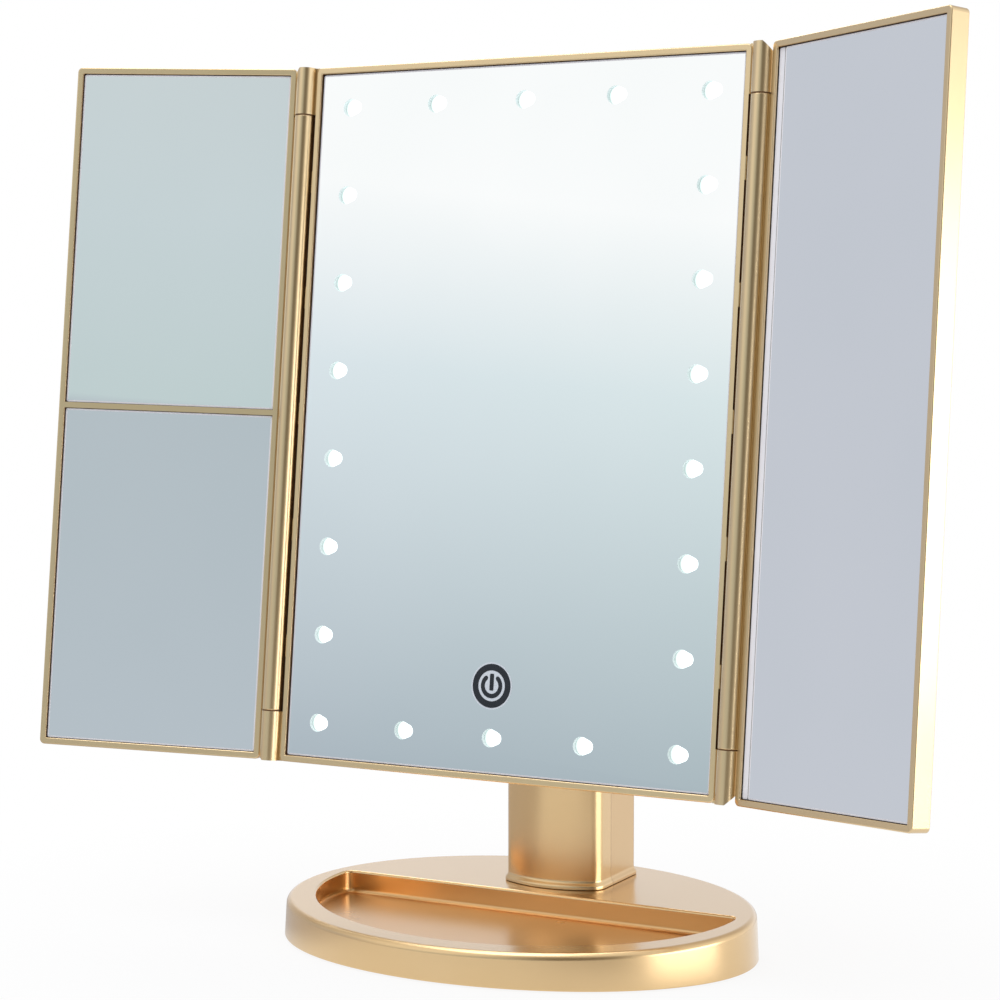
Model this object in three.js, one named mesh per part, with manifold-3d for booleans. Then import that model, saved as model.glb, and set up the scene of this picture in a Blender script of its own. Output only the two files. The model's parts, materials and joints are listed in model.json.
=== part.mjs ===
// Tri-fold makeup mirror with a ring of lamps, on a column and an oval tray base.
// Millimetres, +Z up, the mirror faces -Y, the origin is under the middle of the base.
import * as THREE from "three";
import { mergeVertices } from "three/addons/utils/BufferGeometryUtils.js";
import Module from "manifold-3d";

const wasm = await Module();
wasm.setup();

const { Shape, Path, Vector2 } = THREE;
const RIGHT = 1;
const LEFT = -1;
const turn = THREE.MathUtils.degToRad;

// Fits
const SEAM = 0.3; // gap between pieces that fit into or rest on each other
const RUNNING_GAP = 0.4; // gap along a hinge or slide
const PAST = 1; // how far a cutter runs past the face that it opens

// Base
const BASE_HALF_WIDTH = 86.6;
const BASE_HALF_DEPTH = 63;
const BASE_TOP_HEIGHT = 15.4; // top of the base above the table, at the middle
const BASE_TOP_SLOPE = 0.056; // rise of the top towards the back
const BASE_EDGE_RADIUS = 2.2;
const BASE_SIDE_DRAFT = 0.6;
const BASE_WALL = 2.2;
const RIM_SIDE_WIDTH = 8.4;
const RIM_FRONT_WIDTH = 10.5;
const POCKET_CUT = 5.7; // straight back edge of the tray pocket, behind the middle of its oval
const POCKET_FLOOR = 8.2;
const POCKET_TO_COLUMN = 10.3; // from the pocket's back edge to the column's front corners
const POCKET_CORNER_RADIUS = 3;
const POCKET_FLOOR_FILLET = 1.6;
const POCKET_EDGE_RADIUS = 0.8;
const PAD_THICKNESS = 1;
const PAD_MARGIN = 4;
const BOTTOM_COVER_THICKNESS = 1.8;
const BASE_POST_RADIUS = 3.2;
const BASE_POST_SPOTS = [[34, 46], [66, 24]];
const WIRE_HOLE_RADIUS = 3;

// Screws
const SCREW_RADIUS = 1.4;
const SCREW_HEAD_RADIUS = 2.6;
const SCREW_HEAD_HEIGHT = 1.6;
const SCREW_GRIP = 7; // length of thread in a post
const THIN_HEAD_HEIGHT = 0.6; // head of a screw in the bottom cover

// Column
const COLUMN_WIDTH = 37.8;
const COLUMN_DEPTH = 28; // from the front corners to the back
const COLUMN_INSET = 12.4; // from the back edge of the base
const COLUMN_BULGE = 3.2; // swell of the front face
const COLUMN_FRONT_RADIUS = 2.5;
const COLUMN_BACK_RADIUS = 1.6;
const COLUMN_WALL = 2.2;
const COLUMN_COVER_DEPTH = 9.8; // from the front corners to the joint with the rear shell
const SKIRT_FLARE = 0.95;
const SKIRT_HEIGHT = 2.6;
const COLUMN_SCREW_X = 12;

// Battery bay
const POWER_ROOM_HEIGHT = 12.4; // under the battery bay
const CELL_RADIUS = 7.1;
const CELL_LENGTH = 49.2;
const CELL_NUB_RADIUS = 2.7;
const CELL_NUB_HEIGHT = 1;
const CONTACT_THICKNESS = 0.5;
const SPRING_HEIGHT = 2;
const SPRING_FOOT_RADIUS = 4.6;
const BAY_WALL = 1.5;
const DOOR_THICKNESS = 1.8;
const DOOR_LEDGE = 1.4;
const DOOR_TRAVEL_GAP = 0.3;
const DOOR_CORNER_RADIUS = 1.2;
const GRIP_COUNT = 3;
const GRIP_PITCH = 3;
const GRIP_SIZE = [12, 0.5, 1.2];
const GRIP_TO_TOP = 6;

// Power switch and charging socket
const POWER_BOARD_THICKNESS = 1.2;
const POWER_BOARD_DEPTH = 6;
const POWER_BOARD_LIFT = 3; // above the top of the base
const LEDGE_SIZE = 1.5; // of the two ledges that carry the board
const SWITCH_X = -9;
const SWITCH_SIZE = [10, 4, 4.4];
const SWITCH_KNOB = [2.6, 2];
const SWITCH_TRAVEL = 4;
const SWITCH_STAND_OUT = 1.3;
const SOCKET_X = 9;
const SOCKET_SIZE = [7.6, 5, 2.8];
const SOCKET_SKIN = 0.4;

// Tilt hinge
const BAY_CEILING = 2.4; // under the fork's floor
const PIVOT_BEHIND_FACE = 45.14;
const PIVOT_ABOVE_EDGE = 102.28;
const TILT_BACK = 5.93; // degrees, as photographed
const ARM_WIDTH = 20;
const ARM_BOSS_RADIUS = 10;
const ARM_TAPER = 4; // extra half height of the tongue at the flange
const ARM_SKIN = 3; // around the tongue's hollow
const FORK_DEPTH = 17; // fork floor below the pivot
const BOLT_RADIUS = 2.5;
const BOLT_HEAD_RADIUS = 4.4;
const BOLT_HEAD_HEIGHT = 2.6;
const NUT_HEIGHT = 3;
const WASHER_THICKNESS = 0.8;
const WASHER_RADIUS = 7;
const PIVOT_CAP_RADIUS = 5.6;
const PIVOT_CAP_THICKNESS = 1.4;
const FLANGE_WIDTH = 46;
const FLANGE_HEIGHT = 54;
const FLANGE_THICKNESS = 3.5;
const FLANGE_RADIUS = 7;
const FLANGE_SCREW_SPOTS = [[16.5, -19], [16.5, 19]];

// Centre panel
const PANEL_WIDTH = 170.5;
const PANEL_HEIGHT = 245;
const PANEL_CORNER_RADIUS = 2;
const PANEL_FRAME_DEPTH = 8.6;
const PANEL_DEPTH = 13;
const PANEL_WALL = 1.8;
const LIP_WIDTH = 2.3;
const LIP_THICKNESS = 1;
const FRONT_EDGE_RADIUS = 0.5;
const GLASS_CORNER_RADIUS = 0.6;
const COVER_EDGE_RADIUS = 3;
const COVER_WALL = 2;
const COVER_TONGUE = 2; // reach of the rear cover into the frame
const COVER_TONGUE_THICKNESS = 1.2;
const GLASS_THICKNESS = 2;
const SNAP_COUNT = 5;
const SNAP_SPACING = 41;
const SNAP_LENGTH = 7.7;
const SNAP_HEIGHT = 0.4;
const SIDE_RELIEF = 0.5; // how far the frame's side is set back beside the hinge barrel

// Lamps and controls
const LAMP_ROWS = 8;
const LAMP_TO_END = 14.4; // from the panel's top and bottom edges to the lamps' middles
const LAMP_TO_SIDE = 14.81;
const LAMP_ACROSS = 3; // lamps between the two columns, in the top and bottom rows
const LAMP_SIZE = [3.5, 0.7, 2.8];
const LAMP_BOARD_WIDTH = 7;
const LAMP_BOARD_THICKNESS = 1.2;
const DIFFUSER_THICKNESS = 1;
const DIFFUSER_BAND = 8; // from the lamp line inwards
const RIB_THICKNESS = 1.5;
const TOUCH_HEIGHT = 31.95;
const TOUCH_PAD_RADIUS = 7.2;
const TOUCH_BOARD_SIZE = [22, 1.2, 24];
const CONTROL_BOARD_SIZE = [54, 1.6, 30];
const BOARD_SPACING = 0.8; // between the touch board and the control board
const BOARD_POST_RADIUS = 2.2;
const BOARD_POST_INSET = 4; // from the control board's edges
const CHIP_SIZE = [9, 1.4, 9];

// Side panels and their hinges
const HINGE_OFFSET = 4.1; // axis outside the centre panel's edge
const LOWER_KNUCKLE_LENGTH = 17.3;
const UPPER_KNUCKLE_LENGTH = 16.5;
const KNUCKLE_RADIUS = 3.55;
const KNUCKLE_END_RADIUS = 1.4;
const BARREL_RADIUS = 3.45;
const GUARD_REACH = 3.2; // of the flange behind the barrel, from the panel's edge
const GUARD_THICKNESS = 1;
const HINGE_PIN_RADIUS = 1;
const HINGE_PIN_REACH = 11; // into the knuckle and into the barrel
const WING_INNER_EDGE = 3.9; // from the axis
const WING_SET_BACK = 0.4; // face of the side panel behind the axis
const WING_WIDTH = 83.6;
const WING_DEPTH = 7.3;
const WING_CORNER_RADIUS = 1.8;
const WING_WALL = 1.6;
const WING_LIP_THICKNESS = 0.8;
const WING_COVER_THICKNESS = 1.6;
const COVER_CORNER_RADIUS = 1;
const BACKING_INSET = 1; // of the wall behind the side mirrors, from their cover's edge
const BACKING_WALL = 1.4;
const DIVIDER_WIDTH = 2;
const LEFT_WING_ANGLE = 16.85; // degrees forward of flat, as photographed
const RIGHT_WING_ANGLE = 25.64;

// Sides of curved outlines
const OVAL_SIDES = 56;
const ROUND_SIDES = 16;
const SCREW_SIDES = 12;
const BORE_SIDES = 10;
const CORNER_STEPS = 4;
const FILLET_STEPS = 3;
const COLUMN_STEPS = 6;

const GOLD = finish(0xc9a36a, 0.38, 0.7);
const GOLD_BACK = finish(0xc29c64, 0.42, 0.65);
const SILVERED = finish(0xc4cdd4, 0.04, 1);
const STEEL = finish(0xb9bcc0, 0.3, 1);
const WHITE_PLASTIC = finish(0xf2f2ee, 0.5, 0);
const BLACK_PLASTIC = finish(0x1c1c1e, 0.45, 0);
const BOARD = finish(0xe9ecea, 0.6, 0);
const FOAM = finish(0x2a2a2c, 0.9, 0);
const CELL_WRAP = finish(0x3c4046, 0.4, 0.2);
const NICKEL = finish(0xc7c4bc, 0.3, 1);

function finish(color, roughness, metalness) {
  return new THREE.MeshStandardMaterial({ color, roughness, metalness });
}

// Solids: a closed geometry goes to the boolean library and comes back as a geometry.
function solid(geometry) {
  const bare = geometry.index ? geometry.toNonIndexed() : geometry.clone();
  bare.deleteAttribute("normal");
  bare.deleteAttribute("uv");
  const merged = mergeVertices(bare, 1e-4);
  const mesh = new wasm.Mesh({
    numProp: 3,
    vertProperties: merged.attributes.position.array,
    triVerts: new Uint32Array(merged.index.array),
  });
  return new wasm.Manifold(mesh);
}

function geometryOf(body) {
  const { vertProperties, triVerts, numProp } = body.getMesh();
  const indexed = new THREE.BufferGeometry();
  const points = new Float32Array((vertProperties.length / numProp) * 3);
  for (let i = 0; i < points.length / 3; i += 1) {
    points.set(vertProperties.subarray(i * numProp, i * numProp + 3), i * 3);
  }
  indexed.setAttribute("position", new THREE.BufferAttribute(points, 3));
  indexed.setIndex(new THREE.BufferAttribute(triVerts, 1));
  const geometry = indexed.toNonIndexed();
  geometry.computeVertexNormals();
  return geometry;
}

// Mirrored, with the corners of every face in the opposite order so that it still faces outwards.
function mirrored(geometry, x, y, z) {
  const flipped = geometry.clone().scale(x, y, z);
  const points = flipped.attributes.position;
  for (let i = 0; i < points.count; i += 3) {
    const second = new THREE.Vector3().fromBufferAttribute(points, i + 1);
    const third = new THREE.Vector3().fromBufferAttribute(points, i + 2);
    points.setXYZ(i + 1, third.x, third.y, third.z);
    points.setXYZ(i + 2, second.x, second.y, second.z);
  }
  flipped.computeVertexNormals();
  return flipped;
}

function piece(name, shape, material) {
  const geometry = shape.isBufferGeometry ? shape : geometryOf(shape);
  const mesh = new THREE.Mesh(geometry, material);
  mesh.name = name;
  return mesh;
}

// Basic solids, given by their limits along each axis.
function block([left, right], [front, back], [bottom, top]) {
  const box = new THREE.BoxGeometry(right - left, back - front, top - bottom);
  return solid(box.translate((left + right) / 2, (front + back) / 2, (bottom + top) / 2));
}

function rod(radius, from, to, sides = ROUND_SIDES) {
  const length = to.distanceTo(from);
  const cylinder = new THREE.CylinderGeometry(radius, radius, length, sides);
  const along = to.clone().sub(from).normalize();
  const turned = new THREE.Quaternion().setFromUnitVectors(new THREE.Vector3(0, 1, 0), along);
  const middle = from.clone().add(to).multiplyScalar(0.5);
  return solid(cylinder.applyQuaternion(turned).translate(middle.x, middle.y, middle.z));
}

function at(x, y, z) {
  return new THREE.Vector3(x, y, z);
}

function screw(from, along, length) {
  const neck = from.clone().addScaledVector(along, SCREW_HEAD_HEIGHT);
  const tip = neck.clone().addScaledVector(along, length);
  const inside = from.clone().addScaledVector(along, SCREW_HEAD_HEIGHT / 2);
  return rod(SCREW_HEAD_RADIUS, from, neck, SCREW_SIDES).add(rod(SCREW_RADIUS, inside, tip, BORE_SIDES));
}

// Outlines in a plane, counterclockwise.
function roundedRectangle([left, right], [bottom, top], radius) {
  const shape = new Shape();
  shape.moveTo(left + radius, bottom);
  shape.lineTo(right - radius, bottom);
  shape.absarc(right - radius, bottom + radius, radius, -Math.PI / 2, 0, false);
  shape.lineTo(right, top - radius);
  shape.absarc(right - radius, top - radius, radius, 0, Math.PI / 2, false);
  shape.lineTo(left + radius, top);
  shape.absarc(left + radius, top - radius, radius, Math.PI / 2, Math.PI, false);
  shape.lineTo(left, bottom + radius);
  shape.absarc(left + radius, bottom + radius, radius, Math.PI, Math.PI * 1.5, false);
  return shape;
}

function outlineOf(shape, steps = CORNER_STEPS) {
  const points = shape.getPoints(steps);
  return points.filter((point, i) => point.distanceTo(points[(i + 1) % points.length]) > 1e-3);
}

function oval(halfWidth, halfDepth, sides) {
  return Array.from({ length: sides }, (_, i) => {
    const angle = (i / sides) * Math.PI * 2;
    return new Vector2(halfWidth * Math.cos(angle), halfDepth * Math.sin(angle));
  });
}

function grown(outline, distance) {
  const count = outline.length;
  return outline.map((point, i) => {
    const arriving = point.clone().sub(outline[(i + count - 1) % count]).normalize();
    const leaving = outline[(i + 1) % count].clone().sub(point).normalize();
    const normal = new Vector2(arriving.y + leaving.y, -arriving.x - leaving.x).normalize();
    const lean = normal.x * leaving.y - normal.y * leaving.x;
    return point.clone().addScaledVector(normal, distance / lean);
  });
}

// A skin through one outline at several levels, closed by flat or sloping ends.
// Each level is [growth of the outline, height], where a height may depend on x and y.
function loft(outline, levels) {
  const heightOf = (height, p) => (typeof height === "function" ? height(p.x, p.y) : height);
  const rings = levels.map(([growth, height]) =>
    grown(outline, growth).map((p) => [p.x, p.y, heightOf(height, p)]),
  );
  const count = outline.length;
  const faces = [];
  for (let ring = 0; ring + 1 < rings.length; ring += 1) {
    for (let i = 0; i < count; i += 1) {
      const here = ring * count + i;
      const next = ring * count + ((i + 1) % count);
      faces.push(here, next, next + count, here, next + count, here + count);
    }
  }
  const last = (rings.length - 1) * count;
  for (const [a, b, c] of THREE.ShapeUtils.triangulateShape(outline, [])) {
    faces.push(a, c, b, last + a, last + b, last + c);
  }
  const geometry = new THREE.BufferGeometry();
  geometry.setAttribute("position", new THREE.Float32BufferAttribute(rings.flat(2), 3));
  geometry.setIndex(faces);
  return solid(geometry);
}

// A quarter round between two levels: growth runs from the wall to the end, height follows it.
function quarterRound(radius, steps, growthAt, heightAt) {
  return Array.from({ length: steps + 1 }, (_, i) => {
    const angle = (i / steps) * (Math.PI / 2);
    return [growthAt(radius * (1 - Math.cos(angle))), heightAt(radius * (1 - Math.sin(angle)))];
  });
}

// A flat outline in X and Z, thick along Y; its outer edges may be rounded.
function slab(shape, [front, back], edge = 0) {
  const extruded = new THREE.ExtrudeGeometry(shape, {
    depth: back - front - 2 * edge,
    curveSegments: CORNER_STEPS,
    bevelEnabled: edge > 0,
    bevelThickness: edge,
    bevelSize: edge,
    bevelOffset: -edge,
    bevelSegments: 2,
  });
  return solid(extruded.rotateX(Math.PI / 2).translate(0, back - edge, 0));
}

// A profile in Y and Z, thick along X.
function sideSlab(points, [left, right]) {
  const shape = new Shape(points);
  const extruded = new THREE.ExtrudeGeometry(shape, { depth: right - left, bevelEnabled: false });
  extruded.rotateX(Math.PI / 2).rotateZ(Math.PI / 2);
  return solid(extruded.translate(left, 0, 0));
}

// Places that follow from the sizes above
const COLUMN_BACK = BASE_HALF_DEPTH - COLUMN_INSET;
const COLUMN_FRONT = COLUMN_BACK - COLUMN_DEPTH;
const COLUMN_SEAM = COLUMN_FRONT + COLUMN_COVER_DEPTH;
const POCKET_BACK = COLUMN_FRONT - POCKET_TO_COLUMN;
const POCKET_MIDDLE = POCKET_BACK - POCKET_CUT;
const BAY_BOTTOM = baseTop(0, COLUMN_BACK) + POWER_ROOM_HEIGHT + BAY_WALL;
const BAY_HEIGHT = 2 * (CELL_LENGTH + CELL_NUB_HEIGHT) + SPRING_HEIGHT + 2 * CONTACT_THICKNESS + 6 * SEAM;
const BAY_TOP = BAY_BOTTOM + BAY_HEIGHT;
const FORK_FLOOR = BAY_TOP + BAY_CEILING;
const PIVOT_HEIGHT = FORK_FLOOR + FORK_DEPTH;
const CONTROL_BOARD_LOW = TOUCH_HEIGHT - TOUCH_PAD_RADIUS - SEAM + TOUCH_BOARD_SIZE[2] + BOARD_SPACING;
const CONTROL_BOARD_HEIGHT = CONTROL_BOARD_LOW + CONTROL_BOARD_SIZE[2] / 2;

// Base: an oval tray whose top falls towards the front.
function baseTop(x, y) {
  return BASE_TOP_HEIGHT + BASE_TOP_SLOPE * y;
}

function below(drop) {
  return (x, y) => baseTop(x, y) - drop;
}

const BASE_SKIRT_BOTTOM = PAD_THICKNESS / 2;
const BOTTOM_COVER_TOP = PAD_THICKNESS + SEAM + BOTTOM_COVER_THICKNESS;

// The pocket's outline: an oval cut off by a straight back edge, with rounded corners.
function pocketOutline() {
  const radius = POCKET_CORNER_RADIUS;
  const halfWidth = BASE_HALF_WIDTH - RIM_SIDE_WIDTH - radius;
  const halfDepth = BASE_HALF_DEPTH - RIM_FRONT_WIDTH + POCKET_MIDDLE - radius;
  const back = POCKET_BACK - POCKET_MIDDLE - radius;
  const corner = Math.asin(back / halfDepth);
  const points = [];
  const add = (angle, direction) => {
    const centre = new Vector2(halfWidth * Math.cos(angle), halfDepth * Math.sin(angle) + POCKET_MIDDLE);
    points.push(centre.add(new Vector2(Math.cos(direction), Math.sin(direction)).multiplyScalar(radius)));
  };
  const facing = (angle) => Math.atan2(Math.sin(angle) / halfDepth, Math.cos(angle) / halfWidth);
  const steps = OVAL_SIDES / 2;
  for (let i = 0; i <= steps; i += 1) {
    const angle = Math.PI - corner + ((Math.PI + 2 * corner) * i) / steps;
    add(angle, facing(angle));
  }
  const last = facing(corner);
  for (let i = 1; i <= CORNER_STEPS; i += 1) {
    add(corner, last + ((Math.PI / 2 - last) * i) / CORNER_STEPS);
  }
  const first = facing(Math.PI - corner);
  for (let i = 0; i < CORNER_STEPS; i += 1) {
    add(Math.PI - corner, Math.PI / 2 + ((first - Math.PI / 2) * i) / CORNER_STEPS);
  }
  return points;
}

function baseTray() {
  const outer = oval(BASE_HALF_WIDTH, BASE_HALF_DEPTH, OVAL_SIDES);
  const body = loft(outer, [
    [-PAD_THICKNESS, BASE_SKIRT_BOTTOM],
    [0, BASE_SKIRT_BOTTOM + PAD_THICKNESS],
    ...quarterRound(
      BASE_EDGE_RADIUS,
      FILLET_STEPS,
      (inset) => -BASE_SIDE_DRAFT - inset,
      (drop) => below(drop),
    ),
  ]);
  const pocket = pocketOutline();
  const floorRound = quarterRound(
    POCKET_FLOOR_FILLET,
    FILLET_STEPS,
    (inset) => -inset,
    (drop) => POCKET_FLOOR + drop,
  ).reverse();
  const edgeRound = quarterRound(
    POCKET_EDGE_RADIUS,
    FILLET_STEPS / 2,
    (inset) => inset,
    (drop) => below(drop),
  );
  const hollow = loft(pocket, [
    ...floorRound,
    ...edgeRound,
    [POCKET_EDGE_RADIUS, below(-PAST)],
  ]);
  const hollowWall = loft(pocket, [
    [BASE_WALL, POCKET_FLOOR - BASE_WALL],
    [BASE_WALL, below(-PAST)],
  ]);
  let cavity = loft(outer, [
    [-BASE_WALL - PAD_THICKNESS, BASE_SKIRT_BOTTOM - PAST],
    [-BASE_WALL - PAD_THICKNESS, below(BASE_WALL)],
  ]).subtract(hollowWall);
  for (const [x, y] of mirroredSpots(BASE_POST_SPOTS)) {
    const post = rod(BASE_POST_RADIUS, at(x, y, BOTTOM_COVER_TOP + SEAM), at(x, y, baseTop(x, y)));
    const bore = rod(
      SCREW_RADIUS + SEAM,
      at(x, y, BOTTOM_COVER_TOP),
      at(x, y, BOTTOM_COVER_TOP + SCREW_GRIP + 2 * SEAM),
      SCREW_SIDES,
    );
    cavity = cavity.subtract(post).add(bore);
  }
  let tray = body.subtract(cavity).subtract(hollow);
  const top = baseTop(0, PIVOT_Y);
  const through = (x, radius, sides) =>
    rod(radius, at(x, PIVOT_Y, top - 2 * BASE_WALL), at(x, PIVOT_Y, top + PAST), sides);
  for (const x of [-COLUMN_SCREW_X, COLUMN_SCREW_X]) {
    tray = tray.subtract(through(x, SCREW_RADIUS + SEAM, BORE_SIDES));
  }
  return tray.subtract(through(0, WIRE_HOLE_RADIUS, ROUND_SIDES));
}

function mirroredSpots(spots) {
  return spots.flatMap(([x, y]) => [[-x, y], [x, y]]);
}

function baseBottomCover() {
  const outline = oval(BASE_HALF_WIDTH, BASE_HALF_DEPTH, OVAL_SIDES);
  const inset = -BASE_WALL - PAD_THICKNESS - SEAM;
  let cover = loft(outline, [
    [inset, PAD_THICKNESS + SEAM],
    [inset, BOTTOM_COVER_TOP],
  ]);
  for (const [x, y] of mirroredSpots(BASE_POST_SPOTS)) {
    const bore = rod(SCREW_RADIUS + SEAM, at(x, y, 0), at(x, y, BOTTOM_COVER_TOP + PAST), BORE_SIDES);
    const seat = PAD_THICKNESS + 2 * SEAM + THIN_HEAD_HEIGHT;
    const recess = rod(SCREW_HEAD_RADIUS + SEAM, at(x, y, 0), at(x, y, seat), SCREW_SIDES);
    cover = cover.subtract(bore).subtract(recess);
  }
  return cover;
}

function baseScrew(x, y) {
  const start = PAD_THICKNESS + SEAM;
  const neck = start + THIN_HEAD_HEIGHT;
  const head = rod(SCREW_HEAD_RADIUS, at(x, y, start), at(x, y, neck), SCREW_SIDES);
  const tip = at(x, y, BOTTOM_COVER_TOP + SCREW_GRIP);
  return head.add(rod(SCREW_RADIUS, at(x, y, neck - THIN_HEAD_HEIGHT / 2), tip, BORE_SIDES));
}

function baseGripPad() {
  const outline = oval(BASE_HALF_WIDTH, BASE_HALF_DEPTH, OVAL_SIDES);
  const inset = -BASE_WALL - PAD_MARGIN;
  return loft(outline, [
    [inset, 0],
    [inset, PAD_THICKNESS],
  ]);
}

// Column: a rounded box with a swollen front, whose round top is a fork for the tilt arm.
const COLUMN_NOSE = COLUMN_FRONT - COLUMN_BULGE;
const PIVOT_Y = (COLUMN_NOSE + COLUMN_BACK) / 2;
const COLUMN_TOP_RADIUS = (COLUMN_BACK - COLUMN_NOSE) / 2;
const FORK_HALF_GAP = ARM_WIDTH / 2 + WASHER_THICKNESS + 2 * SEAM;
const BAY_HALF_WIDTH = 2 * CELL_RADIUS + 1.5 * SEAM;
const DOOR_INNER = COLUMN_BACK - DOOR_THICKNESS - SEAM;
const CELL_Y = DOOR_INNER - SEAM - CELL_RADIUS;
const BAY_FRONT = CELL_Y - CELL_RADIUS - SEAM;

function columnOutline() {
  const half = COLUMN_WIDTH / 2;
  const lean = Math.atan2(4 * COLUMN_BULGE, COLUMN_WIDTH);
  const frontX = half - COLUMN_FRONT_RADIUS;
  const frontY = COLUMN_FRONT + COLUMN_FRONT_RADIUS;
  const endX = frontX + COLUMN_FRONT_RADIUS * Math.sin(lean);
  const endY = frontY - COLUMN_FRONT_RADIUS * Math.cos(lean);
  const backX = half - COLUMN_BACK_RADIUS;
  const backY = COLUMN_BACK - COLUMN_BACK_RADIUS;
  const shape = new Shape();
  shape.moveTo(-endX, endY);
  shape.quadraticCurveTo(0, 2 * COLUMN_NOSE - endY, endX, endY);
  shape.absarc(frontX, frontY, COLUMN_FRONT_RADIUS, lean - Math.PI / 2, 0, false);
  shape.lineTo(half, backY);
  shape.absarc(backX, backY, COLUMN_BACK_RADIUS, 0, Math.PI / 2, false);
  shape.lineTo(-backX, COLUMN_BACK);
  shape.absarc(-backX, backY, COLUMN_BACK_RADIUS, Math.PI / 2, Math.PI, false);
  shape.lineTo(-half, frontY);
  shape.absarc(-frontX, frontY, COLUMN_FRONT_RADIUS, Math.PI, Math.PI * 1.5 - lean, false);
  return outlineOf(shape, COLUMN_STEPS);
}

function columnBody() {
  const top = PIVOT_HEIGHT + COLUMN_TOP_RADIUS;
  const full = loft(columnOutline(), [
    [SKIRT_FLARE, below(-SEAM)],
    [SKIRT_FLARE, below(-SEAM - SKIRT_HEIGHT / 4)],
    [SKIRT_FLARE * 0.35, below(-SEAM - SKIRT_HEIGHT / 2)],
    [0, below(-SEAM - SKIRT_HEIGHT)],
    [0, top],
  ]);
  const side = [];
  const reach = COLUMN_TOP_RADIUS + SKIRT_FLARE + PAST;
  const corner = (offset, z) => side.push(new Vector2(PIVOT_Y + offset, z));
  corner(-reach, 0);
  corner(reach, 0);
  corner(reach, PIVOT_HEIGHT / 2);
  corner(COLUMN_TOP_RADIUS, PIVOT_HEIGHT / 2);
  for (let i = 0; i <= ROUND_SIDES; i += 1) {
    const angle = (i / ROUND_SIDES) * Math.PI;
    corner(COLUMN_TOP_RADIUS * Math.cos(angle), PIVOT_HEIGHT + COLUMN_TOP_RADIUS * Math.sin(angle));
  }
  corner(-COLUMN_TOP_RADIUS, PIVOT_HEIGHT / 2);
  corner(-reach, PIVOT_HEIGHT / 2);
  const silhouette = sideSlab(side, [-COLUMN_WIDTH, COLUMN_WIDTH]);
  const fork = block([-FORK_HALF_GAP, FORK_HALF_GAP], [0, COLUMN_BACK + PAST], [FORK_FLOOR, top + PAST]);
  let body = full.intersect(silhouette).subtract(fork);
  body = body.subtract(boltWay());
  return body;
}

// The tilt bolt's bore through both ears, with counterbores for its head, its nut and two caps.
function boltWay() {
  const half = COLUMN_WIDTH / 2;
  const head = half - PIVOT_CAP_THICKNESS - SEAM - BOLT_HEAD_HEIGHT - SEAM;
  const nut = half - PIVOT_CAP_THICKNESS - SEAM - NUT_HEIGHT - SEAM;
  const x = (value) => at(value, PIVOT_Y, PIVOT_HEIGHT);
  return rod(BOLT_RADIUS + SEAM, x(-half), x(half))
    .add(rod(PIVOT_CAP_RADIUS + SEAM, x(-half - PAST), x(-head)))
    .add(rod(PIVOT_CAP_RADIUS + SEAM, x(nut), x(half + PAST)));
}

function columnFrontCover() {
  const room = loft(columnOutline(), [
    [-COLUMN_WALL, 0],
    [-COLUMN_WALL, FORK_FLOOR - COLUMN_WALL],
  ]);
  const frontHalf = block([-COLUMN_WIDTH, COLUMN_WIDTH], [0, COLUMN_SEAM - SEAM / 2], [0, 2 * PIVOT_HEIGHT]);
  return columnBody().subtract(room).intersect(frontHalf);
}

function columnRearShell() {
  const half = COLUMN_WIDTH / 2 - COLUMN_WALL;
  const rearHalf = block(
    [-COLUMN_WIDTH, COLUMN_WIDTH],
    [COLUMN_SEAM + SEAM / 2, COLUMN_BACK + COLUMN_WIDTH],
    [0, 2 * PIVOT_HEIGHT],
  );
  const lowerRoom = block(
    [-half, half],
    [0, COLUMN_BACK - COLUMN_WALL],
    [0, BAY_BOTTOM - BAY_WALL],
  );
  const past = COLUMN_BACK + PAST;
  const bay = block([-BAY_HALF_WIDTH, BAY_HALF_WIDTH], [BAY_FRONT, past], [BAY_BOTTOM, BAY_TOP]);
  const doorSeat = block(
    [-BAY_HALF_WIDTH - DOOR_LEDGE, BAY_HALF_WIDTH + DOOR_LEDGE],
    [DOOR_INNER, past],
    [BAY_BOTTOM - DOOR_LEDGE / 2, BAY_TOP + DOOR_LEDGE / 2],
  );
  let shell = columnBody().intersect(rearHalf).subtract(bay).subtract(doorSeat);
  let room = lowerRoom;
  for (const x of [-COLUMN_SCREW_X, COLUMN_SCREW_X]) {
    const end = baseTop(x, PIVOT_Y) + SCREW_GRIP + 2 * SEAM;
    room = room.subtract(rod(BASE_POST_RADIUS, at(x, PIVOT_Y, 0), at(x, PIVOT_Y, BAY_BOTTOM)));
    room = room.add(rod(SCREW_RADIUS + SEAM, at(x, PIVOT_Y, 0), at(x, PIVOT_Y, end), BORE_SIDES));
  }
  for (const side of [LEFT, RIGHT]) {
    const inner = POWER_BOARD_HALF_WIDTH - LEDGE_SIZE;
    const ledge = block(
      side === RIGHT ? [inner, half + PAST] : [-half - PAST, -inner],
      [POWER_BOARD_FRONT, COLUMN_BACK - COLUMN_WALL],
      [POWER_BOARD_BOTTOM - SEAM - LEDGE_SIZE, POWER_BOARD_BOTTOM - SEAM],
    );
    room = room.subtract(ledge);
  }
  shell = shell.subtract(room);
  return shell.subtract(switchSlot()).subtract(socketHole());
}

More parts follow.
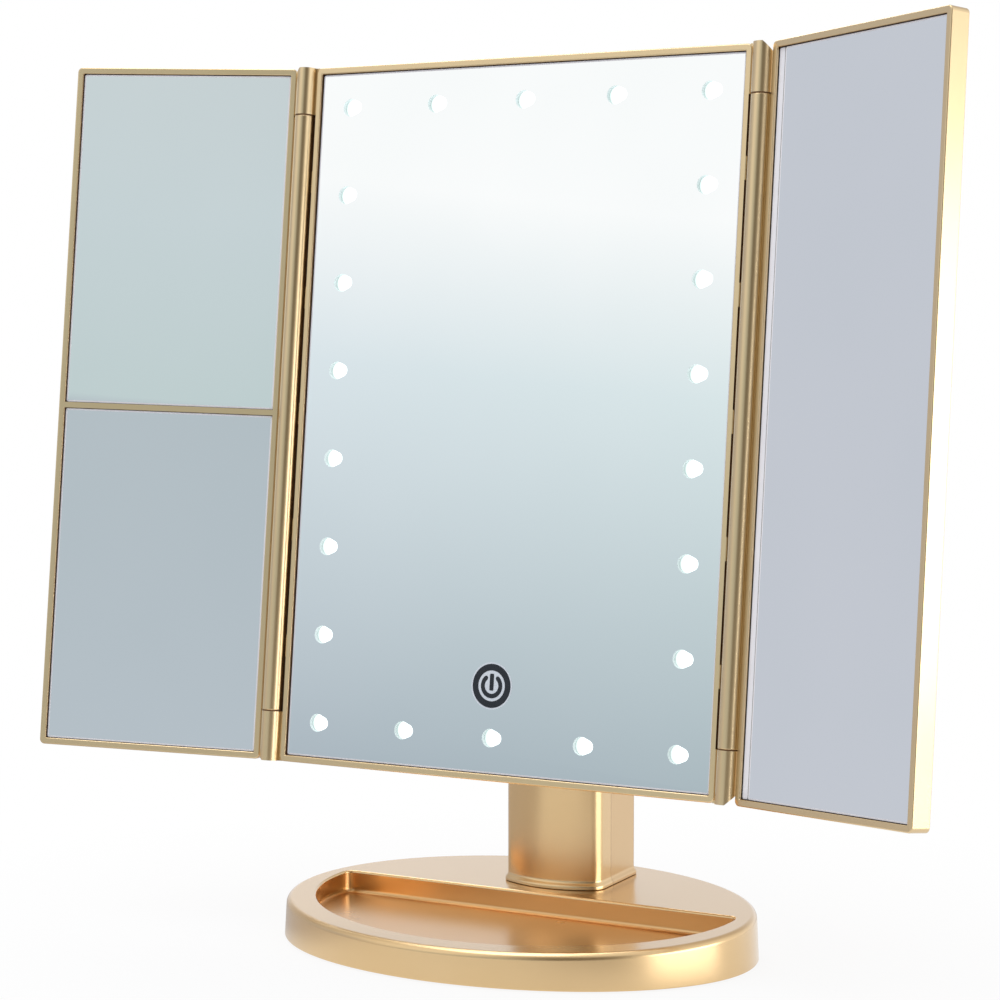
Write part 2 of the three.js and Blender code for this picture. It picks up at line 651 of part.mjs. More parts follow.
const POWER_BOARD_BOTTOM = baseTop(0, COLUMN_BACK) + POWER_BOARD_LIFT;
const POWER_BOARD_TOP = POWER_BOARD_BOTTOM + POWER_BOARD_THICKNESS;
const POWER_BOARD_HALF_WIDTH = COLUMN_WIDTH / 2 - COLUMN_WALL - SEAM;
const POWER_BOARD_BACK = COLUMN_BACK - COLUMN_WALL - SEAM;
const POWER_BOARD_FRONT = POWER_BOARD_BACK - POWER_BOARD_DEPTH;
const SWITCH_BOTTOM = POWER_BOARD_TOP + SEAM;
const SWITCH_MIDDLE = SWITCH_BOTTOM + SWITCH_SIZE[2] / 2;
const SOCKET_BOTTOM = POWER_BOARD_TOP + SEAM;

function switchSlot() {
  const half = (SWITCH_KNOB[0] + SWITCH_TRAVEL) / 2 + RUNNING_GAP;
  const rise = SWITCH_KNOB[1] / 2 + RUNNING_GAP;
  return block(
    [SWITCH_X - half, SWITCH_X + half],
    [POWER_BOARD_BACK, COLUMN_BACK + PAST],
    [SWITCH_MIDDLE - rise, SWITCH_MIDDLE + rise],
  );
}

function socketHole() {
  const half = SOCKET_SIZE[0] / 2 + SEAM;
  return block(
    [SOCKET_X - half, SOCKET_X + half],
    [POWER_BOARD_BACK, COLUMN_BACK + PAST],
    [SOCKET_BOTTOM - SEAM, SOCKET_BOTTOM + SOCKET_SIZE[2] + SEAM],
  );
}

function powerBoard() {
  return block(
    [-POWER_BOARD_HALF_WIDTH, POWER_BOARD_HALF_WIDTH],
    [POWER_BOARD_FRONT, POWER_BOARD_BACK],
    [POWER_BOARD_BOTTOM, POWER_BOARD_TOP],
  );
}

function switchHousing() {
  const [width, depth, height] = SWITCH_SIZE;
  const body = block(
    [SWITCH_X - width / 2, SWITCH_X + width / 2],
    [POWER_BOARD_BACK - depth, POWER_BOARD_BACK],
    [SWITCH_BOTTOM, SWITCH_BOTTOM + height],
  );
  const half = (SWITCH_KNOB[0] + SWITCH_TRAVEL) / 2 + RUNNING_GAP;
  const rise = SWITCH_KNOB[1] / 2 + RUNNING_GAP;
  const groove = block(
    [SWITCH_X - half, SWITCH_X + half],
    [POWER_BOARD_BACK - depth / 2, POWER_BOARD_BACK + PAST],
    [SWITCH_MIDDLE - rise, SWITCH_MIDDLE + rise],
  );
  return body.subtract(groove);
}

function switchKnob() {
  const left = SWITCH_X - SWITCH_TRAVEL / 2 - SWITCH_KNOB[0] / 2;
  return block(
    [left, left + SWITCH_KNOB[0]],
    [POWER_BOARD_BACK - SWITCH_SIZE[1] / 2 + RUNNING_GAP, COLUMN_BACK + SWITCH_STAND_OUT],
    [SWITCH_MIDDLE - SWITCH_KNOB[1] / 2, SWITCH_MIDDLE + SWITCH_KNOB[1] / 2],
  );
}

function chargingSocket() {
  const [width, depth, height] = SOCKET_SIZE;
  const back = COLUMN_BACK - SEAM;
  const shell = block(
    [SOCKET_X - width / 2, SOCKET_X + width / 2],
    [back - depth, back],
    [SOCKET_BOTTOM, SOCKET_BOTTOM + height],
  );
  const mouth = block(
    [SOCKET_X - width / 2 + SOCKET_SKIN, SOCKET_X + width / 2 - SOCKET_SKIN],
    [back - depth + 2 * SOCKET_SKIN, back + PAST],
    [SOCKET_BOTTOM + SOCKET_SKIN, SOCKET_BOTTOM + height - SOCKET_SKIN],
  );
  const tongue = block(
    [SOCKET_X - width / 4, SOCKET_X + width / 4],
    [back - depth + SOCKET_SKIN, back - 2 * SOCKET_SKIN],
    [SOCKET_BOTTOM + height / 2 - SOCKET_SKIN, SOCKET_BOTTOM + height / 2 + SOCKET_SKIN / 2],
  );
  return shell.subtract(mouth).add(tongue);
}

function batteryDoor() {
  const half = BAY_HALF_WIDTH + DOOR_LEDGE - DOOR_TRAVEL_GAP;
  const bottom = BAY_BOTTOM - DOOR_LEDGE / 2 + DOOR_TRAVEL_GAP;
  const top = BAY_TOP + DOOR_LEDGE / 2 - DOOR_TRAVEL_GAP;
  const outline = roundedRectangle([-half, half], [bottom, top], DOOR_CORNER_RADIUS);
  let door = slab(outline, [DOOR_INNER + SEAM, COLUMN_BACK]);
  const [width, depth, height] = GRIP_SIZE;
  for (let i = 0; i < GRIP_COUNT; i += 1) {
    const high = top - GRIP_TO_TOP - i * GRIP_PITCH;
    door = door.subtract(
      block([-width / 2, width / 2], [COLUMN_BACK - depth, COLUMN_BACK + PAST], [high - height, high]),
    );
  }
  return door;
}

function cell(side, level) {
  const x = side * (CELL_RADIUS + SEAM / 2);
  const onSpring = BAY_BOTTOM + CONTACT_THICKNESS + SPRING_HEIGHT + 2 * SEAM;
  const bottom = onSpring + level * (CELL_LENGTH + CELL_NUB_HEIGHT + SEAM);
  const place = (height) => at(x, CELL_Y, bottom + height);
  const can = rod(CELL_RADIUS, place(0), place(CELL_LENGTH));
  return can.add(
    rod(CELL_NUB_RADIUS, place(CELL_LENGTH / 2), place(CELL_LENGTH + CELL_NUB_HEIGHT), BORE_SIDES),
  );
}

function springContact() {
  const bottom = BAY_BOTTOM + SEAM;
  let contact = block(
    [-BAY_HALF_WIDTH + SEAM, BAY_HALF_WIDTH - SEAM],
    [BAY_FRONT + SEAM, DOOR_INNER - SEAM],
    [bottom, bottom + CONTACT_THICKNESS],
  );
  for (const side of [LEFT, RIGHT]) {
    const cone = new THREE.CylinderGeometry(CELL_NUB_RADIUS, SPRING_FOOT_RADIUS, SPRING_HEIGHT, SCREW_SIDES);
    const middle = bottom + (SPRING_HEIGHT + CONTACT_THICKNESS) / 2;
    cone.rotateX(Math.PI / 2);
    cone.translate(side * (CELL_RADIUS + SEAM / 2), CELL_Y, middle);
    contact = contact.add(solid(cone));
  }
  return contact;
}

function plateContact() {
  return block(
    [-BAY_HALF_WIDTH + SEAM, BAY_HALF_WIDTH - SEAM],
    [BAY_FRONT + SEAM, DOOR_INNER - SEAM],
    [BAY_TOP - SEAM - CONTACT_THICKNESS, BAY_TOP - SEAM],
  );
}

function pivotX(value) {
  return at(value, PIVOT_Y, PIVOT_HEIGHT);
}

function tiltBolt() {
  const half = COLUMN_WIDTH / 2;
  const headOuter = -half + PIVOT_CAP_THICKNESS + SEAM;
  const tip = half - PIVOT_CAP_THICKNESS - 2 * SEAM;
  const head = rod(BOLT_HEAD_RADIUS, pivotX(headOuter), pivotX(headOuter + BOLT_HEAD_HEIGHT));
  return head.add(rod(BOLT_RADIUS, pivotX(headOuter + BOLT_HEAD_HEIGHT / 2), pivotX(tip)));
}

function tiltNut() {
  const outer = COLUMN_WIDTH / 2 - PIVOT_CAP_THICKNESS - SEAM;
  const nut = rod(BOLT_HEAD_RADIUS, pivotX(outer - NUT_HEIGHT), pivotX(outer - SEAM), 6);
  return nut.subtract(rod(BOLT_RADIUS + SEAM, pivotX(outer - 2 * NUT_HEIGHT), pivotX(outer + PAST)));
}

function frictionWasher(side) {
  const inner = side * (ARM_WIDTH / 2 + SEAM);
  const outer = side * (ARM_WIDTH / 2 + SEAM + WASHER_THICKNESS);
  const disc = rod(WASHER_RADIUS, pivotX(inner), pivotX(outer));
  return disc.subtract(rod(BOLT_RADIUS + SEAM, pivotX(inner - side * PAST), pivotX(outer + side * PAST)));
}

function pivotCap(side) {
  const outer = side * (COLUMN_WIDTH / 2);
  return rod(PIVOT_CAP_RADIUS, pivotX(outer - side * PIVOT_CAP_THICKNESS), pivotX(outer));
}

// Head: everything from here on is drawn with the panel upright, its front face in the plane
// y = 0 and the middle of its lower edge at the origin, and is then leaned back.
const HALF = PANEL_WIDTH / 2;
const GLASS_FRONT = LIP_THICKNESS + SEAM;
const GLASS_BACK = GLASS_FRONT + GLASS_THICKNESS;
const DIFFUSER_FRONT = GLASS_BACK + SEAM;
const DIFFUSER_BACK = DIFFUSER_FRONT + DIFFUSER_THICKNESS;
const LAMP_FRONT = DIFFUSER_BACK + SEAM;
const BOARD_FRONT = LAMP_FRONT + LAMP_SIZE[1];
const BOARD_BACK = BOARD_FRONT + LAMP_BOARD_THICKNESS;
const RIB_FRONT = BOARD_BACK + SEAM;
const COVER_INNER = PANEL_DEPTH - COVER_WALL;
const INSIDE_HALF = HALF - PANEL_WALL - SEAM;
const LAMP_TOP_ROW = PANEL_HEIGHT - LAMP_TO_END;
const LAMP_ROW_SPACING = (LAMP_TOP_ROW - LAMP_TO_END) / (LAMP_ROWS - 1);
const LAMP_COLUMN_X = HALF - LAMP_TO_SIDE;
const ARM_FACE = PANEL_DEPTH + SEAM;
const KNUCKLE_JOINTS = [LOWER_KNUCKLE_LENGTH, PANEL_HEIGHT - UPPER_KNUCKLE_LENGTH];

function rectangle(halfWidth, [bottom, top], radius) {
  return roundedRectangle([-halfWidth, halfWidth], [bottom, top], radius);
}

function centreFrame() {
  const outline = rectangle(HALF, [0, PANEL_HEIGHT], PANEL_CORNER_RADIUS);
  const whole = slab(outline, [0, PANEL_FRAME_DEPTH], FRONT_EDGE_RADIUS);
  const window = slab(
    rectangle(HALF - LIP_WIDTH, [LIP_WIDTH, PANEL_HEIGHT - LIP_WIDTH], GLASS_CORNER_RADIUS),
    [-PAST, PANEL_DEPTH],
  );
  const room = slab(
    rectangle(HALF - PANEL_WALL, [PANEL_WALL, PANEL_HEIGHT - PANEL_WALL], GLASS_CORNER_RADIUS),
    [LIP_THICKNESS, PANEL_DEPTH],
  );
  let frame = whole.subtract(window).subtract(room);
  const [reliefBottom, reliefTop] = KNUCKLE_JOINTS;
  for (const side of [LEFT, RIGHT]) {
    const outside = side === RIGHT ? [HALF - SIDE_RELIEF, HALF + PAST] : [-HALF - PAST, -HALF + SIDE_RELIEF];
    let relief = block(outside, [-PAST, PANEL_FRAME_DEPTH + PAST], [reliefBottom, reliefTop]);
    for (let i = 0; i < SNAP_COUNT; i += 1) {
      const middle = PANEL_HEIGHT / 2 + (i - (SNAP_COUNT - 1) / 2) * SNAP_SPACING;
      const tabEdge = HALF - SIDE_RELIEF + SNAP_HEIGHT;
      const tab = block(
        side === RIGHT ? [0, tabEdge] : [-tabEdge, 0],
        [-2 * PAST, PANEL_FRAME_DEPTH + 2 * PAST],
        [middle - SNAP_LENGTH / 2, middle + SNAP_LENGTH / 2],
      );
      relief = relief.subtract(tab);
    }
    frame = frame.subtract(relief).add(hingeGuard(side, [reliefBottom, reliefTop]));
    frame = frame.add(knuckle(side, [0, reliefBottom])).add(knuckle(side, [reliefTop, PANEL_HEIGHT]));
  }
  const bore = HINGE_PIN_REACH + SEAM;
  for (const side of [LEFT, RIGHT]) {
    frame = frame.subtract(hingeBore(side, [reliefBottom - bore, reliefBottom + PAST]));
    frame = frame.subtract(hingeBore(side, [reliefTop - PAST, reliefTop + bore]));
  }
  return frame;
}

function roundBarrel(radius, [bottom, top], bottomRound, topRound, x) {
  const circle = oval(radius, radius, ROUND_SIDES).map((p) => p.add(new Vector2(x, 0)));
  const levels = [];
  const steps = FILLET_STEPS - 1;
  if (bottomRound > 0) {
    levels.push(
      ...quarterRound(bottomRound, steps, (inset) => -inset, (drop) => bottom + drop).reverse(),
    );
  } else {
    levels.push([0, bottom]);
  }
  if (topRound > 0) {
    levels.push(...quarterRound(topRound, steps, (inset) => -inset, (drop) => top - drop));
  } else {
    levels.push([0, top]);
  }
  return loft(circle, levels);
}

// Flange behind a side panel's barrel, which closes the view through the hinge
function hingeGuard(side, span) {
  const reach = [HALF - PANEL_WALL / 2, HALF + GUARD_REACH];
  const front = BARREL_RADIUS + RUNNING_GAP;
  return block(
    side === RIGHT ? reach : [-reach[1], -reach[0]],
    [front, front + GUARD_THICKNESS],
    span,
  );
}

function knuckle(side, [bottom, top]) {
  const x = side * (HALF + HINGE_OFFSET);
  const low = bottom === 0;
  const barrel = roundBarrel(
    KNUCKLE_RADIUS,
    [bottom, top],
    low ? KNUCKLE_END_RADIUS : 0,
    low ? 0 : KNUCKLE_END_RADIUS,
    x,
  );
  const inner = HALF - PANEL_WALL / 2;
  const outer = HALF + HINGE_OFFSET;
  const web = block(
    side === RIGHT ? [inner, outer] : [-outer, -inner],
    [FRONT_EDGE_RADIUS, KNUCKLE_RADIUS],
    [bottom + (low ? KNUCKLE_END_RADIUS : 0), top - (low ? 0 : KNUCKLE_END_RADIUS)],
  );
  return barrel.add(web);
}

function hingeBore(side, [bottom, top]) {
  const x = side * (HALF + HINGE_OFFSET);
  return rod(HINGE_PIN_RADIUS + SEAM, at(x, 0, bottom), at(x, 0, top), BORE_SIDES);
}

function hingePin(side, low) {
  const x = side * (HALF + HINGE_OFFSET);
  const joint = KNUCKLE_JOINTS[low ? 0 : 1];
  const end = (reach) => at(x, 0, joint + reach);
  return rod(HINGE_PIN_RADIUS, end(-HINGE_PIN_REACH), end(HINGE_PIN_REACH), BORE_SIDES);
}

function centreRearCover() {
  const outline = outlineOf(rectangle(HALF, [0, PANEL_HEIGHT], PANEL_CORNER_RADIUS + COVER_EDGE_RADIUS));
  const front = PANEL_FRAME_DEPTH + SEAM;
  const skin = loft(outline, [
    [0, front],
    ...quarterRound(COVER_EDGE_RADIUS, FILLET_STEPS, (inset) => -inset, (drop) => PANEL_DEPTH - drop),
  ]);
  const room = loft(outline, [
    [-PANEL_WALL, front - PAST],
    [-PANEL_WALL, COVER_INNER - COVER_EDGE_RADIUS / 2],
    [-PANEL_WALL - COVER_EDGE_RADIUS / 2, COVER_INNER],
  ]);
  const tongueOutline = outlineOf(
    rectangle(INSIDE_HALF, [PANEL_WALL + SEAM, PANEL_HEIGHT - PANEL_WALL - SEAM], PANEL_CORNER_RADIUS),
  );
  const tongue = loft(tongueOutline, [
    [0, front - COVER_TONGUE],
    [0, COVER_INNER + COVER_WALL / 2],
  ]).subtract(
    loft(tongueOutline, [
      [-COVER_TONGUE_THICKNESS, 0],
      [-COVER_TONGUE_THICKNESS, COVER_INNER],
    ]),
  );
  const upright = (body) => solid(mirrored(geometryOf(body).rotateX(Math.PI / 2), 1, -1, 1));
  let cover = upright(skin.subtract(room).add(tongue));
  const inCover = COVER_INNER + COVER_WALL / 2;
  const ribReach = [RIB_FRONT, inCover];
  const halfRib = RIB_THICKNESS / 2;
  for (const side of [LEFT, RIGHT]) {
    const x = side * LAMP_COLUMN_X;
    cover = cover.add(block([x - halfRib, x + halfRib], ribReach, [LAMP_TO_END, LAMP_TOP_ROW]));
  }
  for (const z of [LAMP_TO_END, LAMP_TOP_ROW]) {
    cover = cover.add(block([-LAMP_COLUMN_X, LAMP_COLUMN_X], ribReach, [z - halfRib, z + halfRib]));
  }
  const across = (radius, x, z, [front, back], sides) => rod(radius, at(x, front, z), at(x, back, z), sides);
  for (const [x, z] of controlBoardPosts()) {
    cover = cover.add(across(BOARD_POST_RADIUS, x, z, [CONTROL_BOARD_BACK + SEAM, inCover], BORE_SIDES));
  }
  cover = cover.add(
    block(
      [-TOUCH_BOARD_SIZE[0] / 2, TOUCH_BOARD_SIZE[0] / 2],
      [TOUCH_BOARD_BACK + SEAM, inCover],
      [TOUCH_HEIGHT - halfRib, TOUCH_HEIGHT + halfRib],
    ),
  );
  const postFront = PANEL_DEPTH - SCREW_GRIP + 2 * SEAM;
  for (const [x, z] of flangeScrewSpots()) {
    cover = cover.add(across(BASE_POST_RADIUS, x, z, [postFront, inCover], SCREW_SIDES));
    cover = cover.subtract(
      across(SCREW_RADIUS + SEAM, x, z, [postFront + 2 * SEAM, PANEL_DEPTH + PAST], BORE_SIDES),
    );
  }
  const leadHole = [COVER_INNER - PAST, PANEL_DEPTH + PAST];
  return cover.subtract(across(WIRE_HOLE_RADIUS, 0, PIVOT_ABOVE_EDGE, leadHole, SCREW_SIDES));
}

function flangeScrewSpots() {
  return mirroredSpots(FLANGE_SCREW_SPOTS).map(([x, z]) => [x, z + PIVOT_ABOVE_EDGE]);
}

const CONTROL_BOARD_FRONT = BOARD_FRONT;
const CONTROL_BOARD_BACK = CONTROL_BOARD_FRONT + CONTROL_BOARD_SIZE[1];

function controlBoardPosts() {
  const x = CONTROL_BOARD_SIZE[0] / 2 - BOARD_POST_INSET;
  const z = CONTROL_BOARD_SIZE[2] / 2 - BOARD_POST_INSET;
  return [[-x, -z], [x, -z], [-x, z], [x, z]].map(([px, pz]) => [px, pz + CONTROL_BOARD_HEIGHT]);
}

function controlBoard() {
  const [width, , height] = CONTROL_BOARD_SIZE;
  const low = CONTROL_BOARD_HEIGHT - height / 2;
  const depths = [CONTROL_BOARD_FRONT, CONTROL_BOARD_BACK];
  const board = block([-width / 2, width / 2], depths, [low, low + height]);
  const chip = block(
    [-CHIP_SIZE[0] / 2, CHIP_SIZE[0] / 2],
    [CONTROL_BOARD_FRONT - CHIP_SIZE[1], CONTROL_BOARD_FRONT + CONTROL_BOARD_SIZE[1] / 2],
    [CONTROL_BOARD_HEIGHT - CHIP_SIZE[2] / 2, CONTROL_BOARD_HEIGHT + CHIP_SIZE[2] / 2],
  );
  return board.add(chip);
}

const TOUCH_BOARD_FRONT = GLASS_BACK + SEAM;
const TOUCH_BOARD_BACK = TOUCH_BOARD_FRONT + 2 * TOUCH_BOARD_SIZE[1];

function touchSensor() {
  const [width, thickness, height] = TOUCH_BOARD_SIZE;
  const board = block(
    [-width / 2, width / 2],
    [TOUCH_BOARD_FRONT + thickness, TOUCH_BOARD_BACK],
    [TOUCH_HEIGHT - TOUCH_PAD_RADIUS - SEAM, TOUCH_HEIGHT - TOUCH_PAD_RADIUS - SEAM + height],
  );
  const pad = rod(
    TOUCH_PAD_RADIUS,
    at(0, TOUCH_BOARD_FRONT, TOUCH_HEIGHT),
    at(0, TOUCH_BOARD_FRONT + 1.5 * thickness, TOUCH_HEIGHT),
  );
  return board.add(pad);
}

function centreMirror() {
  const low = PANEL_WALL + SEAM;
  const plate = rectangle(INSIDE_HALF, [low, PANEL_HEIGHT - low], GLASS_CORNER_RADIUS);
  return slab(plate, [GLASS_FRONT, GLASS_BACK]);
}

function diffuser() {
  const low = PANEL_WALL + SEAM;
  const sheet = rectangle(INSIDE_HALF, [low, PANEL_HEIGHT - low], GLASS_CORNER_RADIUS);
  const opening = [LAMP_TO_END + DIFFUSER_BAND, LAMP_TOP_ROW - DIFFUSER_BAND];
  const window = rectangle(LAMP_COLUMN_X - DIFFUSER_BAND, opening, PANEL_CORNER_RADIUS);
  const hole = slab(window, [DIFFUSER_FRONT - PAST, DIFFUSER_BACK + PAST]);
  return slab(sheet, [DIFFUSER_FRONT, DIFFUSER_BACK]).subtract(hole);
}

function lampAt(x, z) {
  const [width, , height] = LAMP_SIZE;
  return block(
    [x - width / 2, x + width / 2],
    [LAMP_FRONT, BOARD_FRONT + LAMP_BOARD_THICKNESS / 2],
    [z - height / 2, z + height / 2],
  );
}

function sideLampBoard(side) {
  const x = side * LAMP_COLUMN_X;
  const half = LAMP_BOARD_WIDTH / 2;
  const heights = [LAMP_TO_END - half, LAMP_TOP_ROW + half];
  let board = block([x - half, x + half], [BOARD_FRONT, BOARD_BACK], heights);
  for (let row = 0; row < LAMP_ROWS; row += 1) {
    board = board.add(lampAt(x, LAMP_TO_END + row * LAMP_ROW_SPACING));
  }
  return board;
}

function crossLampBoard(z) {
  const half = LAMP_BOARD_WIDTH / 2;
  const reach = LAMP_COLUMN_X - half - SEAM;
  let board = block([-reach, reach], [BOARD_FRONT, BOARD_BACK], [z - half, z + half]);
  const spacing = (2 * LAMP_COLUMN_X) / (LAMP_ACROSS + 1);
  for (let i = 1; i <= LAMP_ACROSS; i += 1) {
    board = board.add(lampAt(-LAMP_COLUMN_X + i * spacing, z));
  }
  return board;
}

// Tilt arm: a flange on the rear cover and a tongue that ends in a round boss on the bolt.
function tiltArm() {
  const low = PIVOT_ABOVE_EDGE - FLANGE_HEIGHT / 2;
  const flange = slab(
    rectangle(FLANGE_WIDTH / 2, [low, low + FLANGE_HEIGHT], FLANGE_RADIUS),
    [ARM_FACE, ARM_FACE + FLANGE_THICKNESS],
    FRONT_EDGE_RADIUS,
  );
  const root = ARM_BOSS_RADIUS + ARM_TAPER;
  const rootY = ARM_FACE + FLANGE_THICKNESS / 2;
  const reach = PIVOT_BEHIND_FACE - rootY;
  const slope = Math.atan2(root - ARM_BOSS_RADIUS, reach);
  const points = [new Vector2(rootY, PIVOT_ABOVE_EDGE - root)];
  for (let i = 0; i <= ROUND_SIDES; i += 1) {
    const angle = -Math.PI / 2 + slope + ((Math.PI - 2 * slope) * i) / ROUND_SIDES;
    points.push(
      new Vector2(
        PIVOT_BEHIND_FACE + ARM_BOSS_RADIUS * Math.cos(angle),
        PIVOT_ABOVE_EDGE + ARM_BOSS_RADIUS * Math.sin(angle),
      ),
    );
  }
  points.push(new Vector2(rootY, PIVOT_ABOVE_EDGE + root));
  const tongue = sideSlab(points, [-ARM_WIDTH / 2, ARM_WIDTH / 2]);
  const core = block(
    [-ARM_WIDTH / 2 + ARM_SKIN, ARM_WIDTH / 2 - ARM_SKIN],
    [ARM_FACE - PAST, PIVOT_BEHIND_FACE - ARM_BOSS_RADIUS],
    [PIVOT_ABOVE_EDGE - ARM_BOSS_RADIUS + ARM_SKIN, PIVOT_ABOVE_EDGE + ARM_BOSS_RADIUS - ARM_SKIN],
  );
  const bore = rod(
    BOLT_RADIUS + SEAM,
    at(-ARM_WIDTH, PIVOT_BEHIND_FACE, PIVOT_ABOVE_EDGE),
    at(ARM_WIDTH, PIVOT_BEHIND_FACE, PIVOT_ABOVE_EDGE),
  );
  let arm = flange.add(tongue).subtract(core).subtract(bore);
  for (const [x, z] of flangeScrewSpots()) {
    const ends = [at(x, ARM_FACE - PAST, z), at(x, PIVOT_BEHIND_FACE, z)];
    arm = arm.subtract(rod(SCREW_RADIUS + SEAM, ...ends, BORE_SIDES));
  }
  return arm;
}

function flangeScrew(x, z) {
  const head = ARM_FACE + FLANGE_THICKNESS + SEAM + SCREW_HEAD_HEIGHT;
  const length = head - SCREW_HEAD_HEIGHT - (PANEL_DEPTH - SCREW_GRIP + 5 * SEAM);
  return screw(at(x, head, z), new THREE.Vector3(0, -1, 0), length);
}

// Side panels, drawn for the right: the hinge axis is the Z axis and the panel lies along +X.
const WING_FRONT = WING_SET_BACK;
const WING_BACK = WING_SET_BACK + WING_DEPTH;
const WING_OUTER_EDGE = WING_INNER_EDGE + WING_WIDTH;
const WING_GLASS_FRONT = WING_FRONT + WING_LIP_THICKNESS + SEAM;
const BARREL_SPAN = [KNUCKLE_JOINTS[0] + RUNNING_GAP, KNUCKLE_JOINTS[1] - RUNNING_GAP];

function wingRectangle(inset, radius, [bottom, top] = [0, PANEL_HEIGHT]) {
  return roundedRectangle(
    [WING_INNER_EDGE + inset, WING_OUTER_EDGE - inset],
    [bottom + inset, top - inset],
    radius,
  );
}

function wingFrame(divided) {
  const whole = slab(wingRectangle(0, WING_CORNER_RADIUS), [WING_FRONT, WING_BACK], FRONT_EDGE_RADIUS);
  const window = slab(wingRectangle(LIP_WIDTH, GLASS_CORNER_RADIUS), [WING_FRONT - PAST, WING_BACK + PAST]);
  const inside = wingRectangle(WING_WALL, COVER_CORNER_RADIUS);
  const room = slab(inside, [WING_FRONT + WING_LIP_THICKNESS, WING_BACK + PAST]);
  let frame = whole.subtract(window).subtract(room);
  if (divided) {
    const middle = PANEL_HEIGHT / 2;
    const face = block(
      [WING_INNER_EDGE + WING_WALL / 2, WING_OUTER_EDGE - WING_WALL / 2],
      [WING_FRONT, WING_GLASS_FRONT - SEAM],
      [middle - DIVIDER_WIDTH / 2, middle + DIVIDER_WIDTH / 2],
    );
    const stem = block(
      [WING_INNER_EDGE + WING_WALL / 2, WING_OUTER_EDGE - WING_WALL / 2],
      [WING_FRONT + WING_LIP_THICKNESS / 2, WING_GLASS_FRONT + GLASS_THICKNESS],
      [middle - DIVIDER_WIDTH / 4, middle + DIVIDER_WIDTH / 4],
    );
    frame = frame.add(face).add(stem);
  }
  const web = block(
    [0, WING_INNER_EDGE + WING_WALL / 2],
    [WING_FRONT + FRONT_EDGE_RADIUS, BARREL_RADIUS],
    BARREL_SPAN,
  );
  frame = frame.add(roundBarrel(BARREL_RADIUS, BARREL_SPAN, 0, 0, 0)).add(web);
  const [bottom, top] = BARREL_SPAN;
  const reach = HINGE_PIN_REACH + SEAM;
  const bore = (from, to) => rod(HINGE_PIN_RADIUS + SEAM, at(0, 0, from), at(0, 0, to), BORE_SIDES);
  return frame.subtract(bore(bottom - PAST, bottom + reach)).subtract(bore(top - reach, top + PAST));
}

function wingMirror([bottom, top]) {
  const left = WING_INNER_EDGE + WING_WALL + SEAM;
  const right = WING_OUTER_EDGE - WING_WALL - SEAM;
  const plate = roundedRectangle([left, right], [bottom, top], GLASS_CORNER_RADIUS);
  return slab(plate, [WING_GLASS_FRONT, WING_GLASS_FRONT + GLASS_THICKNESS]);
}

function wingRearCover() {
  const inset = WING_WALL + SEAM;
  const layer = (extra, depths) => slab(wingRectangle(inset + extra, COVER_CORNER_RADIUS), depths);
  const plate = layer(0, [WING_BACK - WING_COVER_THICKNESS, WING_BACK]);
  const backing = layer(BACKING_INSET, [WING_GLASS_FRONT + GLASS_THICKNESS + SEAM, WING_BACK - SEAM]);
  const room = layer(BACKING_INSET + BACKING_WALL, [0, WING_BACK - WING_COVER_THICKNESS]);
  return plate.add(backing.subtract(room));
}

function wing(side, angle, pieces) {
  const group = new THREE.Group();
  group.position.set(side * (HALF + HINGE_OFFSET), 0, 0);
  group.rotation.z = -side * turn(angle);
  for (const [name, body, material] of pieces) {
    const geometry = geometryOf(body);
    group.add(piece(name, side === RIGHT ? geometry : mirrored(geometry, -1, 1, 1), material));
  }
  return group;
}

function stand() {
  const group = new THREE.Group();
  const add = (name, body, material) => group.add(piece(name, body, material));
  add("base_tray", baseTray(), GOLD);
  add("base_bottom_cover", baseBottomCover(), BLACK_PLASTIC);
  add("base_grip_pad", baseGripPad(), FOAM);
  mirroredSpots(BASE_POST_SPOTS).forEach(([x, y], i) => {
    add("base_cover_screw_" + (i + 1), baseScrew(x, y), STEEL);
  });
  [-COLUMN_SCREW_X, COLUMN_SCREW_X].forEach((x, i) => {
    const head = baseTop(x, PIVOT_Y) - BASE_WALL - SEAM - SCREW_HEAD_HEIGHT;
    const body = screw(at(x, PIVOT_Y, head), at(0, 0, 1), BASE_WALL + SCREW_GRIP);
    add("column_screw_" + (i + 1), body, STEEL);
  });
  add("column_front_cover", columnFrontCover(), GOLD);
  add("column_rear_shell", columnRearShell(), GOLD_BACK);
  add("battery_door", batteryDoor(), GOLD_BACK);
  add("spring_contact", springContact(), NICKEL);
  add("plate_contact", plateContact(), NICKEL);
  let number = 1;
  for (const level of [0, 1]) {
    for (const side of [LEFT, RIGHT]) {
      add("battery_cell_" + number, cell(side, level), CELL_WRAP);
      number += 1;
    }
  }
  add("power_board", powerBoard(), BOARD);
  add("power_switch_housing", switchHousing(), STEEL);
  add("power_switch_knob", switchKnob(), BLACK_PLASTIC);
  add("charging_socket", chargingSocket(), STEEL);
  add("tilt_bolt", tiltBolt(), STEEL);
  add("tilt_nut", tiltNut(), STEEL);
  add("friction_washer_left", frictionWasher(LEFT), BLACK_PLASTIC);
  add("friction_washer_right", frictionWasher(RIGHT), BLACK_PLASTIC);
  add("pivot_cap_left", pivotCap(LEFT), GOLD_BACK);
  add("pivot_cap_right", pivotCap(RIGHT), GOLD_BACK);
  return group;
}

